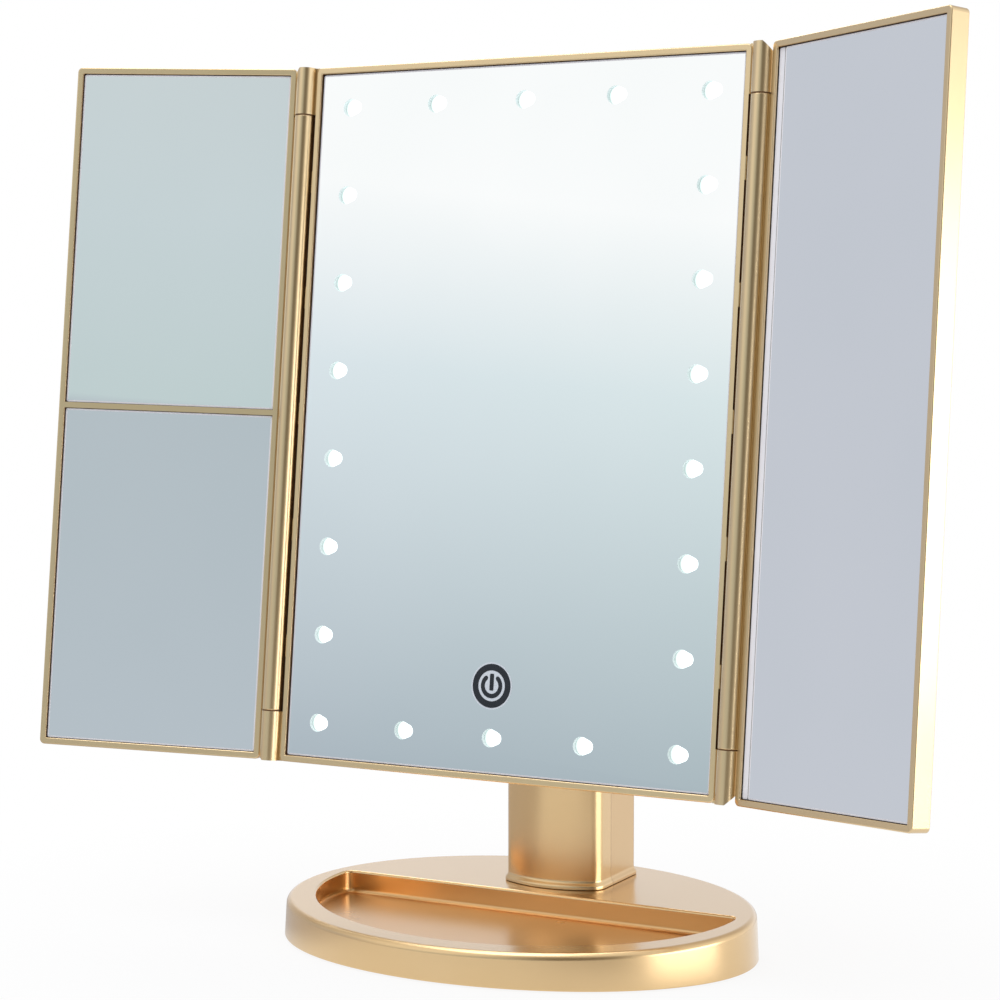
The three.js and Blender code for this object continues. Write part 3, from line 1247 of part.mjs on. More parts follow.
function head() {
  const panel = new THREE.Group();
  const add = (name, body, material) => panel.add(piece(name, body, material));
  add("centre_frame", centreFrame(), GOLD);
  add("centre_rear_cover", centreRearCover(), GOLD_BACK);
  add("centre_mirror", centreMirror(), SILVERED);
  add("light_diffuser", diffuser(), WHITE_PLASTIC);
  add("lamp_board_left", sideLampBoard(LEFT), BOARD);
  add("lamp_board_right", sideLampBoard(RIGHT), BOARD);
  add("lamp_board_top", crossLampBoard(LAMP_TOP_ROW), BOARD);
  add("lamp_board_bottom", crossLampBoard(LAMP_TO_END), BOARD);
  add("touch_sensor", touchSensor(), BOARD);
  add("control_board", controlBoard(), BOARD);
  add("tilt_arm", tiltArm(), GOLD_BACK);
  flangeScrewSpots().forEach(([x, z], i) => add("arm_screw_" + (i + 1), flangeScrew(x, z), STEEL));
  for (const [side, word] of [[LEFT, "left"], [RIGHT, "right"]]) {
    add("hinge_pin_" + word + "_lower", hingePin(side, true), STEEL);
    add("hinge_pin_" + word + "_upper", hingePin(side, false), STEEL);
  }
  const low = WING_WALL + SEAM;
  const middle = PANEL_HEIGHT / 2;
  const stem = DIVIDER_WIDTH / 4 + SEAM;
  panel.add(
    wing(LEFT, LEFT_WING_ANGLE, [
      ["left_wing_frame", wingFrame(true), GOLD],
      ["left_wing_rear_cover", wingRearCover(), GOLD_BACK],
      ["left_upper_mirror", wingMirror([middle + stem, PANEL_HEIGHT - low]), SILVERED],
      ["left_lower_mirror", wingMirror([low, middle - stem]), SILVERED],
    ]),
  );
  panel.add(
    wing(RIGHT, RIGHT_WING_ANGLE, [
      ["right_wing_frame", wingFrame(false), GOLD],
      ["right_wing_rear_cover", wingRearCover(), GOLD_BACK],
      ["right_mirror", wingMirror([low, PANEL_HEIGHT - low]), SILVERED],
    ]),
  );
  panel.position.set(0, -PIVOT_BEHIND_FACE, -PIVOT_ABOVE_EDGE);
  const leaned = new THREE.Group();
  leaned.add(panel);
  leaned.rotation.x = -turn(TILT_BACK);
  leaned.position.set(0, PIVOT_Y, PIVOT_HEIGHT);
  return leaned;
}

const mirror = new THREE.Group();
mirror.add(stand(), head());

export default mirror;
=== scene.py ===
"""Tri-fold makeup mirror with a ring of lamps, dressed for rendering."""
import json
from math import acos, asin, atan2, cos, hypot, inf, pi, radians, sin

import bmesh
import bpy
from mathutils import Matrix, Vector

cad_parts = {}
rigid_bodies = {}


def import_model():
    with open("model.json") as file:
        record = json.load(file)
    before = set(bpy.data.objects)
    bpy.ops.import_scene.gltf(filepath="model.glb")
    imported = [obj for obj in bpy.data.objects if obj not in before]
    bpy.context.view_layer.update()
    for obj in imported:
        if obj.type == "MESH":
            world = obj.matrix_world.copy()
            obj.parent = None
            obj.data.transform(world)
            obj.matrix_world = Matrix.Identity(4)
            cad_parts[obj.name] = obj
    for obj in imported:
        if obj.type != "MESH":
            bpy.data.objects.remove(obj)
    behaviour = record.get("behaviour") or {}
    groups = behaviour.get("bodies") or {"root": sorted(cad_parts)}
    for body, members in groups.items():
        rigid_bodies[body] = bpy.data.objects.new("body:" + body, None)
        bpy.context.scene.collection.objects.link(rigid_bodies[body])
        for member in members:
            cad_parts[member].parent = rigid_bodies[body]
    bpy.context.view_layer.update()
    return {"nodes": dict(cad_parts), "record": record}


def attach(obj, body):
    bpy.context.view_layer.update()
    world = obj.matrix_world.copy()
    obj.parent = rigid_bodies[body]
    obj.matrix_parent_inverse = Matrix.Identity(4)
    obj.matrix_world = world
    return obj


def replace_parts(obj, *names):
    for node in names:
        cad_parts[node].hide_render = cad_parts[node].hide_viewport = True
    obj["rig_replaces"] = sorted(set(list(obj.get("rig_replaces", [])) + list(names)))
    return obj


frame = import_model()

LEFT, RIGHT = -1, 1
SIDES = ((LEFT, "left"), (RIGHT, "right"))
MM = 0.001
QUARTER = pi / 2

# Sizes in millimetres, of the solids and of what is drawn finer here
SEAM = 0.3
RUNNING_GAP = 0.4
PAST = 1.0
NEAR = 0.05

BASE_HALF_WIDTH = 86.6
BASE_HALF_DEPTH = 63
BASE_TOP_HEIGHT = 15.4
BASE_TOP_SLOPE = 0.056
BASE_EDGE_RADIUS = 2.2
BASE_SIDE_DRAFT = 0.6
BASE_WALL = 2.2
RIM_SIDE_WIDTH = 8.4
RIM_FRONT_WIDTH = 10.5
POCKET_CUT = 5.7
POCKET_FLOOR = 8.2
POCKET_TO_COLUMN = 10.3
POCKET_CORNER_RADIUS = 3
POCKET_FLOOR_FILLET = 1.6
POCKET_EDGE_RADIUS = 0.8
PAD_THICKNESS = 1

COLUMN_WIDTH = 37.8
COLUMN_DEPTH = 28
COLUMN_INSET = 12.4
COLUMN_BULGE = 3.2
COLUMN_FRONT_RADIUS = 4.4
COLUMN_BACK_RADIUS = 1.6
COLUMN_WALL = 2.2
COLUMN_COVER_DEPTH = 9.8
COLUMN_JOINT = 0.12
SKIRT_FLARE = 0.95
SKIRT_HEIGHT = 2.6
SKIRT_SHAPE = (1, 0.97, 0.85, 0.62, 0.38, 0.18, 0.05)

SCREW_RADIUS = 1.4
SCREW_HEAD_RADIUS = 2.6
SCREW_HEAD_HEIGHT = 1.6
THIN_HEAD_HEIGHT = 0.6
SCREW_GRIP = 7
BOTTOM_COVER_THICKNESS = 1.8
BASE_POST_SPOTS = ((34, 46), (66, 24))
COLUMN_SCREW_X = 12

POWER_ROOM_HEIGHT = 12.4
CELL_RADIUS = 7.1
CELL_LENGTH = 49.2
CELL_NUB_RADIUS = 2.7
CELL_NUB_HEIGHT = 1
SPRING_FOOT_RADIUS = 4.6
CONTACT_THICKNESS = 0.5
SPRING_HEIGHT = 2
BAY_WALL = 1.5
DOOR_THICKNESS = 1.8
DOOR_LEDGE = 1.4
DOOR_TRAVEL_GAP = 0.3
DOOR_CORNER_RADIUS = 1.2
BAY_CEILING = 2.4
FORK_DEPTH = 17

POWER_BOARD_THICKNESS = 1.2
POWER_BOARD_LIFT = 3
SWITCH_X = -9
SWITCH_SIZE = (10, 4, 4.4)
SWITCH_KNOB = (2.6, 2)
SWITCH_TRAVEL = 4
SWITCH_STAND_OUT = 1.3
SOCKET_X = 9
SOCKET_SIZE = (7.6, 5, 2.8)

PIVOT_BEHIND_FACE = 45.14
PIVOT_ABOVE_EDGE = 102.28
TILT_BACK = 5.93
ARM_WIDTH = 20
ARM_BOSS_RADIUS = 10
BOLT_RADIUS = 2.5
BOLT_HEAD_HEIGHT = 2.6
NUT_HEIGHT = 3
WASHER_THICKNESS = 0.8
PIVOT_CAP_RADIUS = 5.6
PIVOT_CAP_THICKNESS = 1.4
FLANGE_WIDTH = 46
FLANGE_HEIGHT = 54
FLANGE_THICKNESS = 3.5
FLANGE_RADIUS = 7
FLANGE_SCREW_SPOTS = ((16.5, -19), (16.5, 19))

PANEL_WIDTH = 170.5
PANEL_HEIGHT = 245
PANEL_CORNER_RADIUS = 2
PANEL_FRAME_DEPTH = 8.6
PANEL_DEPTH = 13
PANEL_WALL = 1.8
LIP_WIDTH = 2.3
LIP_THICKNESS = 1
FRONT_EDGE_RADIUS = 0.5
COVER_EDGE_RADIUS = 3
COVER_WALL = 2
GLASS_THICKNESS = 2
GLASS_GAP = 0.2
PANE_CORNER_RADIUS = 0.6
SEAT_FRONT = 0.7
SEAT_BACK = 1.9
GLASS_CHAMFER = 0.55
GLASS_CHAMFER_DEPTH = 0.06
GLASS_STRIP = 2.6
GLASS_GROOVE = 0.35
SNAP_COUNT = 5
SNAP_SPACING = 41
SNAP_LENGTH = 7.7
SNAP_HEIGHT = 0.4
SIDE_RELIEF = 0.5

LAMP_ROWS = 8
LAMP_TO_END = 14.4
LAMP_TO_SIDE = 14.81
LAMP_ACROSS = 3
TOUCH_HEIGHT = 31.95
WINDOW_RADIUS = 3.1
WINDOW_TAIL = (2.3, 2.2)
WINDOW_SHIFT = -0.3
DOME_TOP = 0.4
DOME_DROP = 0.3
GLOW_SHIFT = 1.3
GLOW_RADIUS = 2.9
GLOW_FADE = 1.5
TOUCH_SHIFT = -0.6
TOUCH_RING = (5.18, 7.42)
TOUCH_ARC = (2.65, 4.2)
TOUCH_ARC_GAP = 40
TOUCH_BAR = (-1.58, 4.1)
TOUCH_BAR_WIDTH = 1.6

HINGE_OFFSET = 4.1
LOWER_KNUCKLE_LENGTH = 17.3
UPPER_KNUCKLE_LENGTH = 16.5
KNUCKLE_RADIUS = 3.55
KNUCKLE_BACK = 6.6
KNUCKLE_BACK_RADIUS = 1
KNUCKLE_SLOPE = 0.85
KNUCKLE_SLOPE_START = -0.8
BARREL_RADIUS = 3.45
BARREL_END_RADIUS = 0.35
GUARD_REACH = 3.2
GUARD_THICKNESS = 1
WING_INNER_EDGE = 3.9
WING_SET_BACK = 0.4
WING_WIDTH = 83.6
WING_TRIM = 0.03
WING_DEPTH = 7.3
WING_CORNER_RADIUS = 1.8
WING_WALL = 1.6
WING_LIP_THICKNESS = 0.8
WING_COVER_THICKNESS = 1.6
DIVIDER_WIDTH = 2
LEFT_WING_ANGLE = 16.85
RIGHT_WING_ANGLE = 25.64

# Places that follow from the sizes
COLUMN_BACK = BASE_HALF_DEPTH - COLUMN_INSET
COLUMN_FRONT = COLUMN_BACK - COLUMN_DEPTH
COLUMN_SEAM = COLUMN_FRONT + COLUMN_COVER_DEPTH
COLUMN_NOSE = COLUMN_FRONT - COLUMN_BULGE
COLUMN_TOP_RADIUS = (COLUMN_BACK - COLUMN_NOSE) / 2
PIVOT_Y = (COLUMN_NOSE + COLUMN_BACK) / 2
POCKET_BACK = COLUMN_FRONT - POCKET_TO_COLUMN
POCKET_MIDDLE = POCKET_BACK - POCKET_CUT
BACK_TOP = BASE_TOP_HEIGHT + BASE_TOP_SLOPE * COLUMN_BACK
BAY_BOTTOM = BACK_TOP + POWER_ROOM_HEIGHT + BAY_WALL
BAY_HEIGHT = 2 * (CELL_LENGTH + CELL_NUB_HEIGHT) + SPRING_HEIGHT + 2 * CONTACT_THICKNESS + 6 * SEAM
BAY_TOP = BAY_BOTTOM + BAY_HEIGHT
FORK_FLOOR = BAY_TOP + BAY_CEILING
PIVOT_HEIGHT = FORK_FLOOR + FORK_DEPTH
FORK_HALF_GAP = ARM_WIDTH / 2 + WASHER_THICKNESS + 2 * SEAM
BAY_HALF_WIDTH = 2 * CELL_RADIUS + 1.5 * SEAM
DOOR_INNER = COLUMN_BACK - DOOR_THICKNESS - SEAM
CELL_Y = DOOR_INNER - SEAM - CELL_RADIUS
BAY_FRONT = CELL_Y - CELL_RADIUS - SEAM
POWER_BOARD_TOP = BACK_TOP + POWER_BOARD_LIFT + POWER_BOARD_THICKNESS
POWER_BOARD_BACK = COLUMN_BACK - COLUMN_WALL - SEAM
SWITCH_BOTTOM = POWER_BOARD_TOP + SEAM
SWITCH_MIDDLE = SWITCH_BOTTOM + SWITCH_SIZE[2] / 2
SOCKET_BOTTOM = POWER_BOARD_TOP + SEAM

HALF = PANEL_WIDTH / 2
HINGE_X = HALF + HINGE_OFFSET
GLASS_FRONT = LIP_THICKNESS + SEAM
GLASS_BACK = GLASS_FRONT + GLASS_THICKNESS
PRINT_BACK = GLASS_FRONT - 0.02
LAMP_TOP_ROW = PANEL_HEIGHT - LAMP_TO_END
LAMP_ROW_SPACING = (LAMP_TOP_ROW - LAMP_TO_END) / (LAMP_ROWS - 1)
LAMP_COLUMN_X = HALF - LAMP_TO_SIDE
ARM_FACE = PANEL_DEPTH + SEAM
COVER_INNER = PANEL_DEPTH - COVER_WALL
KNUCKLE_JOINTS = (LOWER_KNUCKLE_LENGTH, PANEL_HEIGHT - UPPER_KNUCKLE_LENGTH)
WING_FRONT = WING_SET_BACK
WING_BACK = WING_SET_BACK + WING_DEPTH
WING_OUTER_EDGE = WING_INNER_EDGE + WING_WIDTH
PANEL_BOX = (-HALF, HALF, 0, PANEL_HEIGHT)
WING_BOX = (WING_INNER_EDGE, WING_OUTER_EDGE, 0, PANEL_HEIGHT)
WING_GLASS_FRONT = WING_FRONT + WING_LIP_THICKNESS + SEAM
BARREL_SPAN = (KNUCKLE_JOINTS[0] + RUNNING_GAP, KNUCKLE_JOINTS[1] - RUNNING_GAP)

STAND = Matrix.Identity(4)
HEAD = (
    Matrix.Translation((0, PIVOT_Y, PIVOT_HEIGHT))
    @ Matrix.Rotation(-radians(TILT_BACK), 4, "X")
    @ Matrix.Translation((0, -PIVOT_BEHIND_FACE, -PIVOT_ABOVE_EDGE))
)


def wing_place(side, angle):
    turned = Matrix.Rotation(-side * radians(angle), 4, "Z")
    placed = HEAD @ Matrix.Translation((side * HINGE_X, 0, 0)) @ turned
    return placed if side == RIGHT else placed @ Matrix.Scale(-1, 4, (1, 0, 0))


PLACES = {
    "head": HEAD,
    "left_wing": wing_place(LEFT, LEFT_WING_ANGLE),
    "right_wing": wing_place(RIGHT, RIGHT_WING_ANGLE),
}

# The camera: degrees, and millimetres for its place and its lens
CAMERA_YAW = 30.934
CAMERA_PITCH = -3.557
CAMERA_LENS = 99.58
CAMERA_PLACE = (477.65, -808.43, 211.56)

# Tones in sRGB: the paint's edges, partly worn and partly a painted highlight, the floor, whose reflection
# carries a painted shadow, and the walls and lights of the room around it
WORN_EDGE_HIGHLIGHT_TONE = (240, 214, 172)
WHITE_TONE = (255, 255, 255)
FLOOR_TONE = (238, 238, 240)
FLOOR_SHINE = (250, 249, 247)
FLOOR_PAINTED_SHADOW = (184, 178, 174)
WORLD_LIGHT = (226, 226, 228)
DARK_FRONT = (118, 114, 106)
HIGH_FRONT = (190, 186, 178)
LEFT_WALL = (196, 196, 198)
LEFT_ROOM = (199, 202, 211)
BACK_WALL = (205, 198, 192)
HIGH_WALL = (188, 184, 178)
CEILING = (225, 222, 215)
LILAC = (247, 249, 255)
DUSK = (206, 200, 194)


# Materials
def linear(colour):
    def channel(value):
        value /= 255
        return value / 12.92 if value <= 0.04045 else ((value + 0.055) / 1.055) ** 2.4

    return tuple(channel(value) for value in colour)


class Nodes:
    """Short forms for the nodes of a tree. A tone is an sRGB tuple or the output of a node."""

    def __init__(self, tree):
        self.tree = tree

    def add(self, kind, **settings):
        node = self.tree.nodes.new("ShaderNode" + kind)
        for key, value in settings.items():
            if key in node.inputs:
                node.inputs[key].default_value = value
            else:
                setattr(node, key, value)
        return node

    def link(self, source, target):
        self.tree.links.new(source, target)

    def value(self, kind, *inputs, clamp=False):
        node = self.add("Math", operation=kind, use_clamp=clamp)
        for socket, source in zip(node.inputs, inputs):
            if isinstance(source, (int, float)):
                socket.default_value = source
            else:
                self.link(source, socket)
        return node.outputs[0]

    def ramp(self, source, start, end, low=0, high=1):
        limits = {"From Min": start, "From Max": end, "To Min": low, "To Max": high}
        node = self.add("MapRange", **limits)
        self.link(source, node.inputs["Value"])
        return node.outputs["Result"]

    def mix(self, source, first, second):
        node = self.add("Mix", data_type="RGBA")
        self.link(source, node.inputs[0])
        for socket, tone in ((node.inputs[6], first), (node.inputs[7], second)):
            if isinstance(tone, tuple):
                socket.default_value = (*linear(tone), 1)
            else:
                self.link(tone, socket)
        return node.outputs[2]

    def ring(self, turn, stops):
        """Tones all the way round, at azimuths from -180 to 180 degrees."""
        node = self.add("ValToRGB")
        elements = node.color_ramp.elements
        for number, (azimuth, tone) in enumerate(stops):
            place = azimuth / 360 + 0.5
            element = elements[number] if number < 2 else elements.new(place)
            element.position = place
            element.color = (*linear(tone), 1)
        self.link(turn, node.inputs["Fac"])
        return node.outputs["Color"]


class Paint(Nodes):
    """A new material's nodes, around its one shader."""

    def __init__(self, name):
        self.material = bpy.data.materials.new(name)
        self.material.use_nodes = True
        super().__init__(self.material.node_tree)
        self.shader = self.tree.nodes["Principled BSDF"]
        self.coords = self.add("TexCoord").outputs["Object"]

    def noise(self, scale, detail):
        node = self.add("TexNoise", Scale=scale, Detail=detail)
        self.link(self.coords, node.inputs["Vector"])
        return node.outputs["Fac"]

    def spread(self, scale, detail, low=0, high=1, start=0.3, end=0.7):
        return self.ramp(self.noise(scale, detail), start, end, low, high)

    def edges(self, radius):
        """1 along the edges of the mesh, 0 on its faces."""
        rounded = self.add("Bevel", samples=6, Radius=radius * MM)
        flat = self.add("NewGeometry")
        turn = self.add("VectorMath", operation="DOT_PRODUCT")
        self.link(rounded.outputs["Normal"], turn.inputs[0])
        self.link(flat.outputs["Normal"], turn.inputs[1])
        return self.ramp(turn.outputs["Value"], 0.86, 0.995, 1, 0)

    def bump(self, scale, detail, height, strength):
        node = self.add("Bump", Strength=strength, Distance=height * MM)
        self.link(self.noise(scale, detail), node.inputs["Height"])
        return node.outputs["Normal"]

    def shade(self, **values):
        """Sets the shader's sockets, or links outputs to them."""
        for key, value in values.items():
            socket = self.shader.inputs[key.replace("_", " ")]
            if isinstance(value, bpy.types.NodeSocket):
                self.link(value, socket)
            else:
                socket.default_value = value
        return self.material


def painted_gold(name, colour, deep, roughness, coat=1.0):
    """Metallic paint under a clear coat, paler in patches along its edges: partly worn by hands, partly a
    painted highlight.
    """
    nodes = Paint(name)
    paint = nodes.mix(nodes.spread(30, 3, start=0.15, end=0.85), deep, colour)
    # Paler edges in patches: partly wear, partly a painted highlight.
    worn_and_highlit = nodes.value("MULTIPLY", nodes.edges(0.5), nodes.spread(70, 4, 0.1, 0.55))
    return nodes.shade(
        Base_Color=nodes.mix(worn_and_highlit, paint, WORN_EDGE_HIGHLIGHT_TONE),
        Roughness=nodes.spread(24, 3, roughness - 0.015, roughness + 0.015, 0.1, 0.9),
        Normal=nodes.bump(7000, 2, 0.001, 0.2),
        Metallic=1.0, Coat_Weight=coat, Coat_Roughness=0.18,
    )


def moulded(name, colour, shade, roughness, grain=0.01, scale=1800, metallic=0.0):
    """A fine-grained surface, a little darker in patches."""
    nodes = Paint(name)
    return nodes.shade(
        Base_Color=nodes.mix(nodes.spread(60, 4), shade, colour),
        Roughness=nodes.spread(400, 3, roughness - 0.05, roughness + 0.06),
        Normal=nodes.bump(scale, 3, grain, 0.6),
        Metallic=metallic,
    )


def mirror_silver():
    nodes = Paint("silvered_glass")
    tone = nodes.mix(nodes.spread(14, 2), (247, 250, 250), (250, 252, 252))
    return nodes.shade(Base_Color=tone, Roughness=nodes.spread(30, 3, 0.008, 0.016), Metallic=1.0)


def lamp_glow():
    """Frosted windows that shine where the mesh attribute "glow" is 1 and carry painted shade, darker and
    dimmer, where it is 0.
    """
    nodes = Paint("lamp_window")
    glow = nodes.add("Attribute", attribute_name="glow").outputs["Fac"]
    shell = nodes.mix(nodes.spread(900, 2), (236, 250, 248), (250, 255, 255))
    light = nodes.mix(nodes.spread(700, 2), (240, 253, 252), WHITE_TONE)
    return nodes.shade(
        # Where glow is 0: painted shade of the inner wall of the hole behind the glass.
        Base_Color=nodes.mix(glow, (112, 128, 126), shell),
        Emission_Color=nodes.mix(glow, (176, 193, 189), light),
        Emission_Strength=1.1, Roughness=0.5,
    )


GOLD = painted_gold("gold_front", (231, 198, 148), (227, 193, 140), 0.26)
# The pocket's gold is a darker, more orange copy of the tray's gold, with a thinner clear coat: painted shade
# of the hollow.
POCKET_SHADED_GOLD = painted_gold("gold_pocket_painted_shade", (225, 183, 129), (219, 176, 121), 0.28, 0.3)
# The frames' gold is a paler, yellower copy of the same paint: painted light, for the cooler light on the
# panels.
FRAME_GOLD_PAINTED_LIGHT = painted_gold("gold_frames_painted_light", (232, 206, 161), (226, 199, 152), 0.29)
SILVER = mirror_silver()
GLASS_EDGE = moulded("glass_edge", (222, 230, 230), (210, 220, 220), 0.3, 0.004)
LAMP = lamp_glow()
NICKEL = moulded("nickel", (204, 200, 190), (186, 182, 170), 0.3, 0.004, 2400, 1.0)
WRAP = moulded("battery_wrap", (66, 70, 78), (52, 56, 62), 0.35)
PRINT = moulded("black_print", (24, 34, 46), (18, 26, 36), 0.6, 0.002)
PALE_PRINT = moulded("pale_print", (218, 226, 234), (208, 216, 226), 0.5, 0.002)
WRAP_BAND = moulded("battery_band", (186, 140, 78), (170, 126, 68), 0.3, 0.004, 1800, 0.6)
# Painted shade: the dark of narrow gaps and grooves, put on the lips' inner faces, the hinge guards and the
# washers.
PAINTED_SHADE = moulded("painted_groove_shade", (112, 78, 44), (96, 66, 36), 0.7)
# The seat's dark brown is partly its own colour, partly painted shade of the gap between glass and lip.
GASKET_AND_SHADE = moulded("glass_gasket_and_shade", (74, 60, 50), (60, 48, 40), 0.7)
GROUND = moulded("ground_glass_edge", (248, 247, 251), (240, 240, 246), 0.4, 0.004)
# Grey fill of the fine groove beside the right mirror's strip: painted shade.
GROOVE_SHADE = moulded("glass_groove_painted_shade", (150, 150, 146), (136, 137, 134), 0.5, 0.004)

SLOTS = {
    "gold_front": GOLD,
    "gold_back": painted_gold("gold_back", (223, 189, 140), (218, 183, 133), 0.31),
    "mirror_glass": SILVER,
    "steel": moulded("steel", (190, 192, 196), (170, 172, 178), 0.32, 0.004, 2400, 1.0),
    "white_plastic": moulded("white_plastic", (240, 240, 236), (230, 230, 226), 0.5),
    "black_plastic": moulded("black_plastic", (30, 30, 33), (22, 22, 25), 0.45),
    "circuit_board": moulded("circuit_board", (226, 232, 228), (206, 216, 210), 0.6),
    "grip_foam": moulded("grip_foam", (44, 44, 47), (30, 30, 33), 0.9, 0.12, 1100),
    "battery_wrap": WRAP,
    "nickel": NICKEL,
}


# Outlines: lists of (u, v), counterclockwise
def arc(centre, radius, start, end, steps):
    for i in range(steps + 1):
        angle = start + (end - start) * i / steps
        yield centre[0] + radius * cos(angle), centre[1] + radius * sin(angle)


def rounded_rectangle(left, right, bottom, top, radius, steps=6):
    points = []
    corners = ((right - radius, bottom + radius), (right - radius, top - radius),
               (left + radius, top - radius), (left + radius, bottom + radius))
    for number, centre in enumerate(corners):
        points.extend(arc(centre, radius, (number - 1) * QUARTER, number * QUARTER, steps))
    return points


def around(middle, reach):
    return middle - reach, middle + reach


def shrunk(box, inset):
    """A box of (left, right, bottom, top), smaller by an inset on each side."""
    return box[0] + inset, box[1] - inset, box[2] + inset, box[3] - inset


def oval(half_width, half_depth, sides=256):
    step = 2 * pi / sides
    return [(half_width * cos(i * step), half_depth * sin(i * step)) for i in range(sides)]


def grown(outline, distance):
    count = len(outline)
    result = []
    for i, (u, v) in enumerate(outline):
        before, here, after = Vector(outline[i - 1]), Vector((u, v)), Vector(outline[(i + 1) % count])
        arriving, leaving = (here - before).normalized(), (after - here).normalized()
        normal = Vector((arriving.y + leaving.y, -arriving.x - leaving.x)).normalized()
        lean = normal.x * leaving.y - normal.y * leaving.x
        result.append(tuple(here + normal * (distance / lean)))
    return result


def without_repeats(outline):
    following = outline[1:] + outline[:1]
    return [p for p, q in zip(outline, following) if (Vector(p) - Vector(q)).length > 1e-4]


def rounding(radius, steps):
    """A quarter round as (inset, drop): from the side, a radius below the top, to the top."""
    angles = [i / steps * pi / 2 for i in range(steps + 1)]
    return [(radius * (1 - cos(a)), radius * (1 - sin(a))) for a in angles]


# Forms: mesh objects in millimetres, joined and cut before they are dressed
def form(points, faces):
    mesh = bpy.data.meshes.new("form")
    mesh.from_pydata([tuple(p) for p in points], [], faces)
    builder = bmesh.new()
    builder.from_mesh(mesh)
    bmesh.ops.recalc_face_normals(builder, faces=builder.faces)
    builder.to_mesh(mesh)
    builder.free()
    thing = bpy.data.objects.new("form", mesh)
    bpy.context.scene.collection.objects.link(thing)
    return thing


def skin(rings, closed=False):
    """Quads between rings of equally many points; the ends are filled, or joined when closed."""
    count = len(rings[0])
    faces = []
    for ring in range(len(rings) if closed else len(rings) - 1):
        first, second = ring * count, (ring + 1) % len(rings) * count
        for i in range(count):
            j = (i + 1) % count
            faces.append((first + i, first + j, second + j, second + i))
    if not closed:
        last = (len(rings) - 1) * count
        faces.append(tuple(range(count - 1, -1, -1)))
        faces.append(tuple(last + i for i in range(count)))
    return form([p for ring in rings for p in ring], faces)


def loft(outline, levels):
    """An outline in X and Y through (growth, height) levels; a height may depend on u and v."""
    rings = []
    for growth, level in levels:
        ring = grown(outline, growth)
        rings.append([(u, v, level(u, v) if callable(level) else level) for u, v in ring])
    return skin(rings)


def stack(outline, levels):
    """An outline in X and Z through (growth, depth) levels along Y."""
    return skin([[(u, y, v) for u, v in grown(outline, growth)] for growth, y in levels])


def slab(outline, front, back):
    return stack(outline, [(0, front), (0, back)])


def side_slab(outline, left, right):
    """An outline in Y and Z, thick along X."""
    return skin([[(x, u, v) for u, v in outline] for x in (left, right)])


def block(xs, ys, zs):
    return slab([(xs[0], zs[0]), (xs[1], zs[0]), (xs[1], zs[1]), (xs[0], zs[1])], *ys)


def rod(radius, start, end, sides=48):
    start, end = Vector(start), Vector(end)
    turned = (end - start).to_track_quat("Z", "Y")
    ring = [turned @ Vector((u, v, 0)) for u, v in oval(radius, radius, sides)]
    return skin([[p + start for p in ring], [p + end for p in ring]])


def boolean(operation, first, others):
    for other in others:
        step = first.modifiers.new(operation, "BOOLEAN")
        step.operation = operation
        step.solver = "MANIFOLD"
        step.object = other
    evaluated = first.evaluated_get(bpy.context.evaluated_depsgraph_get())
    mesh = bpy.data.meshes.new_from_object(evaluated)
    first.modifiers.clear()
    first.data = mesh
    for other in others:
        bpy.data.objects.remove(other)
    return first


def cut(first, *others):
    return boolean("DIFFERENCE", first, others)


def join(first, *others):
    return boolean("UNION", first, others)


def common(first, *others):
    return boolean("INTERSECT", first, others)


def paint(thing, materials, choose):
    """Each face takes the material whose number choose gives for it."""
    thing.data.materials.clear()
    for material in materials:
        thing.data.materials.append(material)
    for face in thing.data.polygons:
        face.material_index = int(choose(face))
    return thing


def dress(thing, name, body, nodes, slot, material=None, bevel=0.2, sharp=32, merge=True):
    """Places a form in the row frame, softens its edges and has it stand for its CAD nodes."""
    thing.name = name
    thing.data.name = name
    builder = bmesh.new()
    builder.from_mesh(thing.data)
    if merge:
        bmesh.ops.remove_doubles(builder, verts=builder.verts, dist=1e-4)
        bmesh.ops.dissolve_limit(builder, angle_limit=radians(0.4), verts=builder.verts,
                                 edges=builder.edges, delimit={"MATERIAL"})
    bmesh.ops.transform(builder, matrix=Matrix.Scale(MM, 4) @ PLACES.get(body, STAND), verts=builder.verts)
    bmesh.ops.recalc_face_normals(builder, faces=builder.faces)
    for face in builder.faces:
        face.smooth = True
    builder.to_mesh(thing.data)
    builder.free()
    thing.data.set_sharp_from_angle(angle=radians(sharp))
    if bevel:
        soft = thing.modifiers.new("edge", "BEVEL")
        soft.width = bevel * MM
        soft.segments = 3
        soft.limit_method = "ANGLE"
        soft.angle_limit = radians(sharp)
        soft.use_clamp_overlap = True
        soft.miter_outer = "MITER_ARC"
    weighted = thing.modifiers.new("normals", "WEIGHTED_NORMAL")
    weighted.keep_sharp = not bevel
    weighted.weight = 100
    if not any(thing.data.materials):
        thing.data.materials.clear()
        thing.data.materials.append(material or SLOTS[slot])
    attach(thing, body)
    if nodes:
        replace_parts(thing, *nodes)


# Base
def base_top(u, v):
    return BASE_TOP_HEIGHT + BASE_TOP_SLOPE * v


def below(drop):
    return lambda u, v: base_top(u, v) - drop


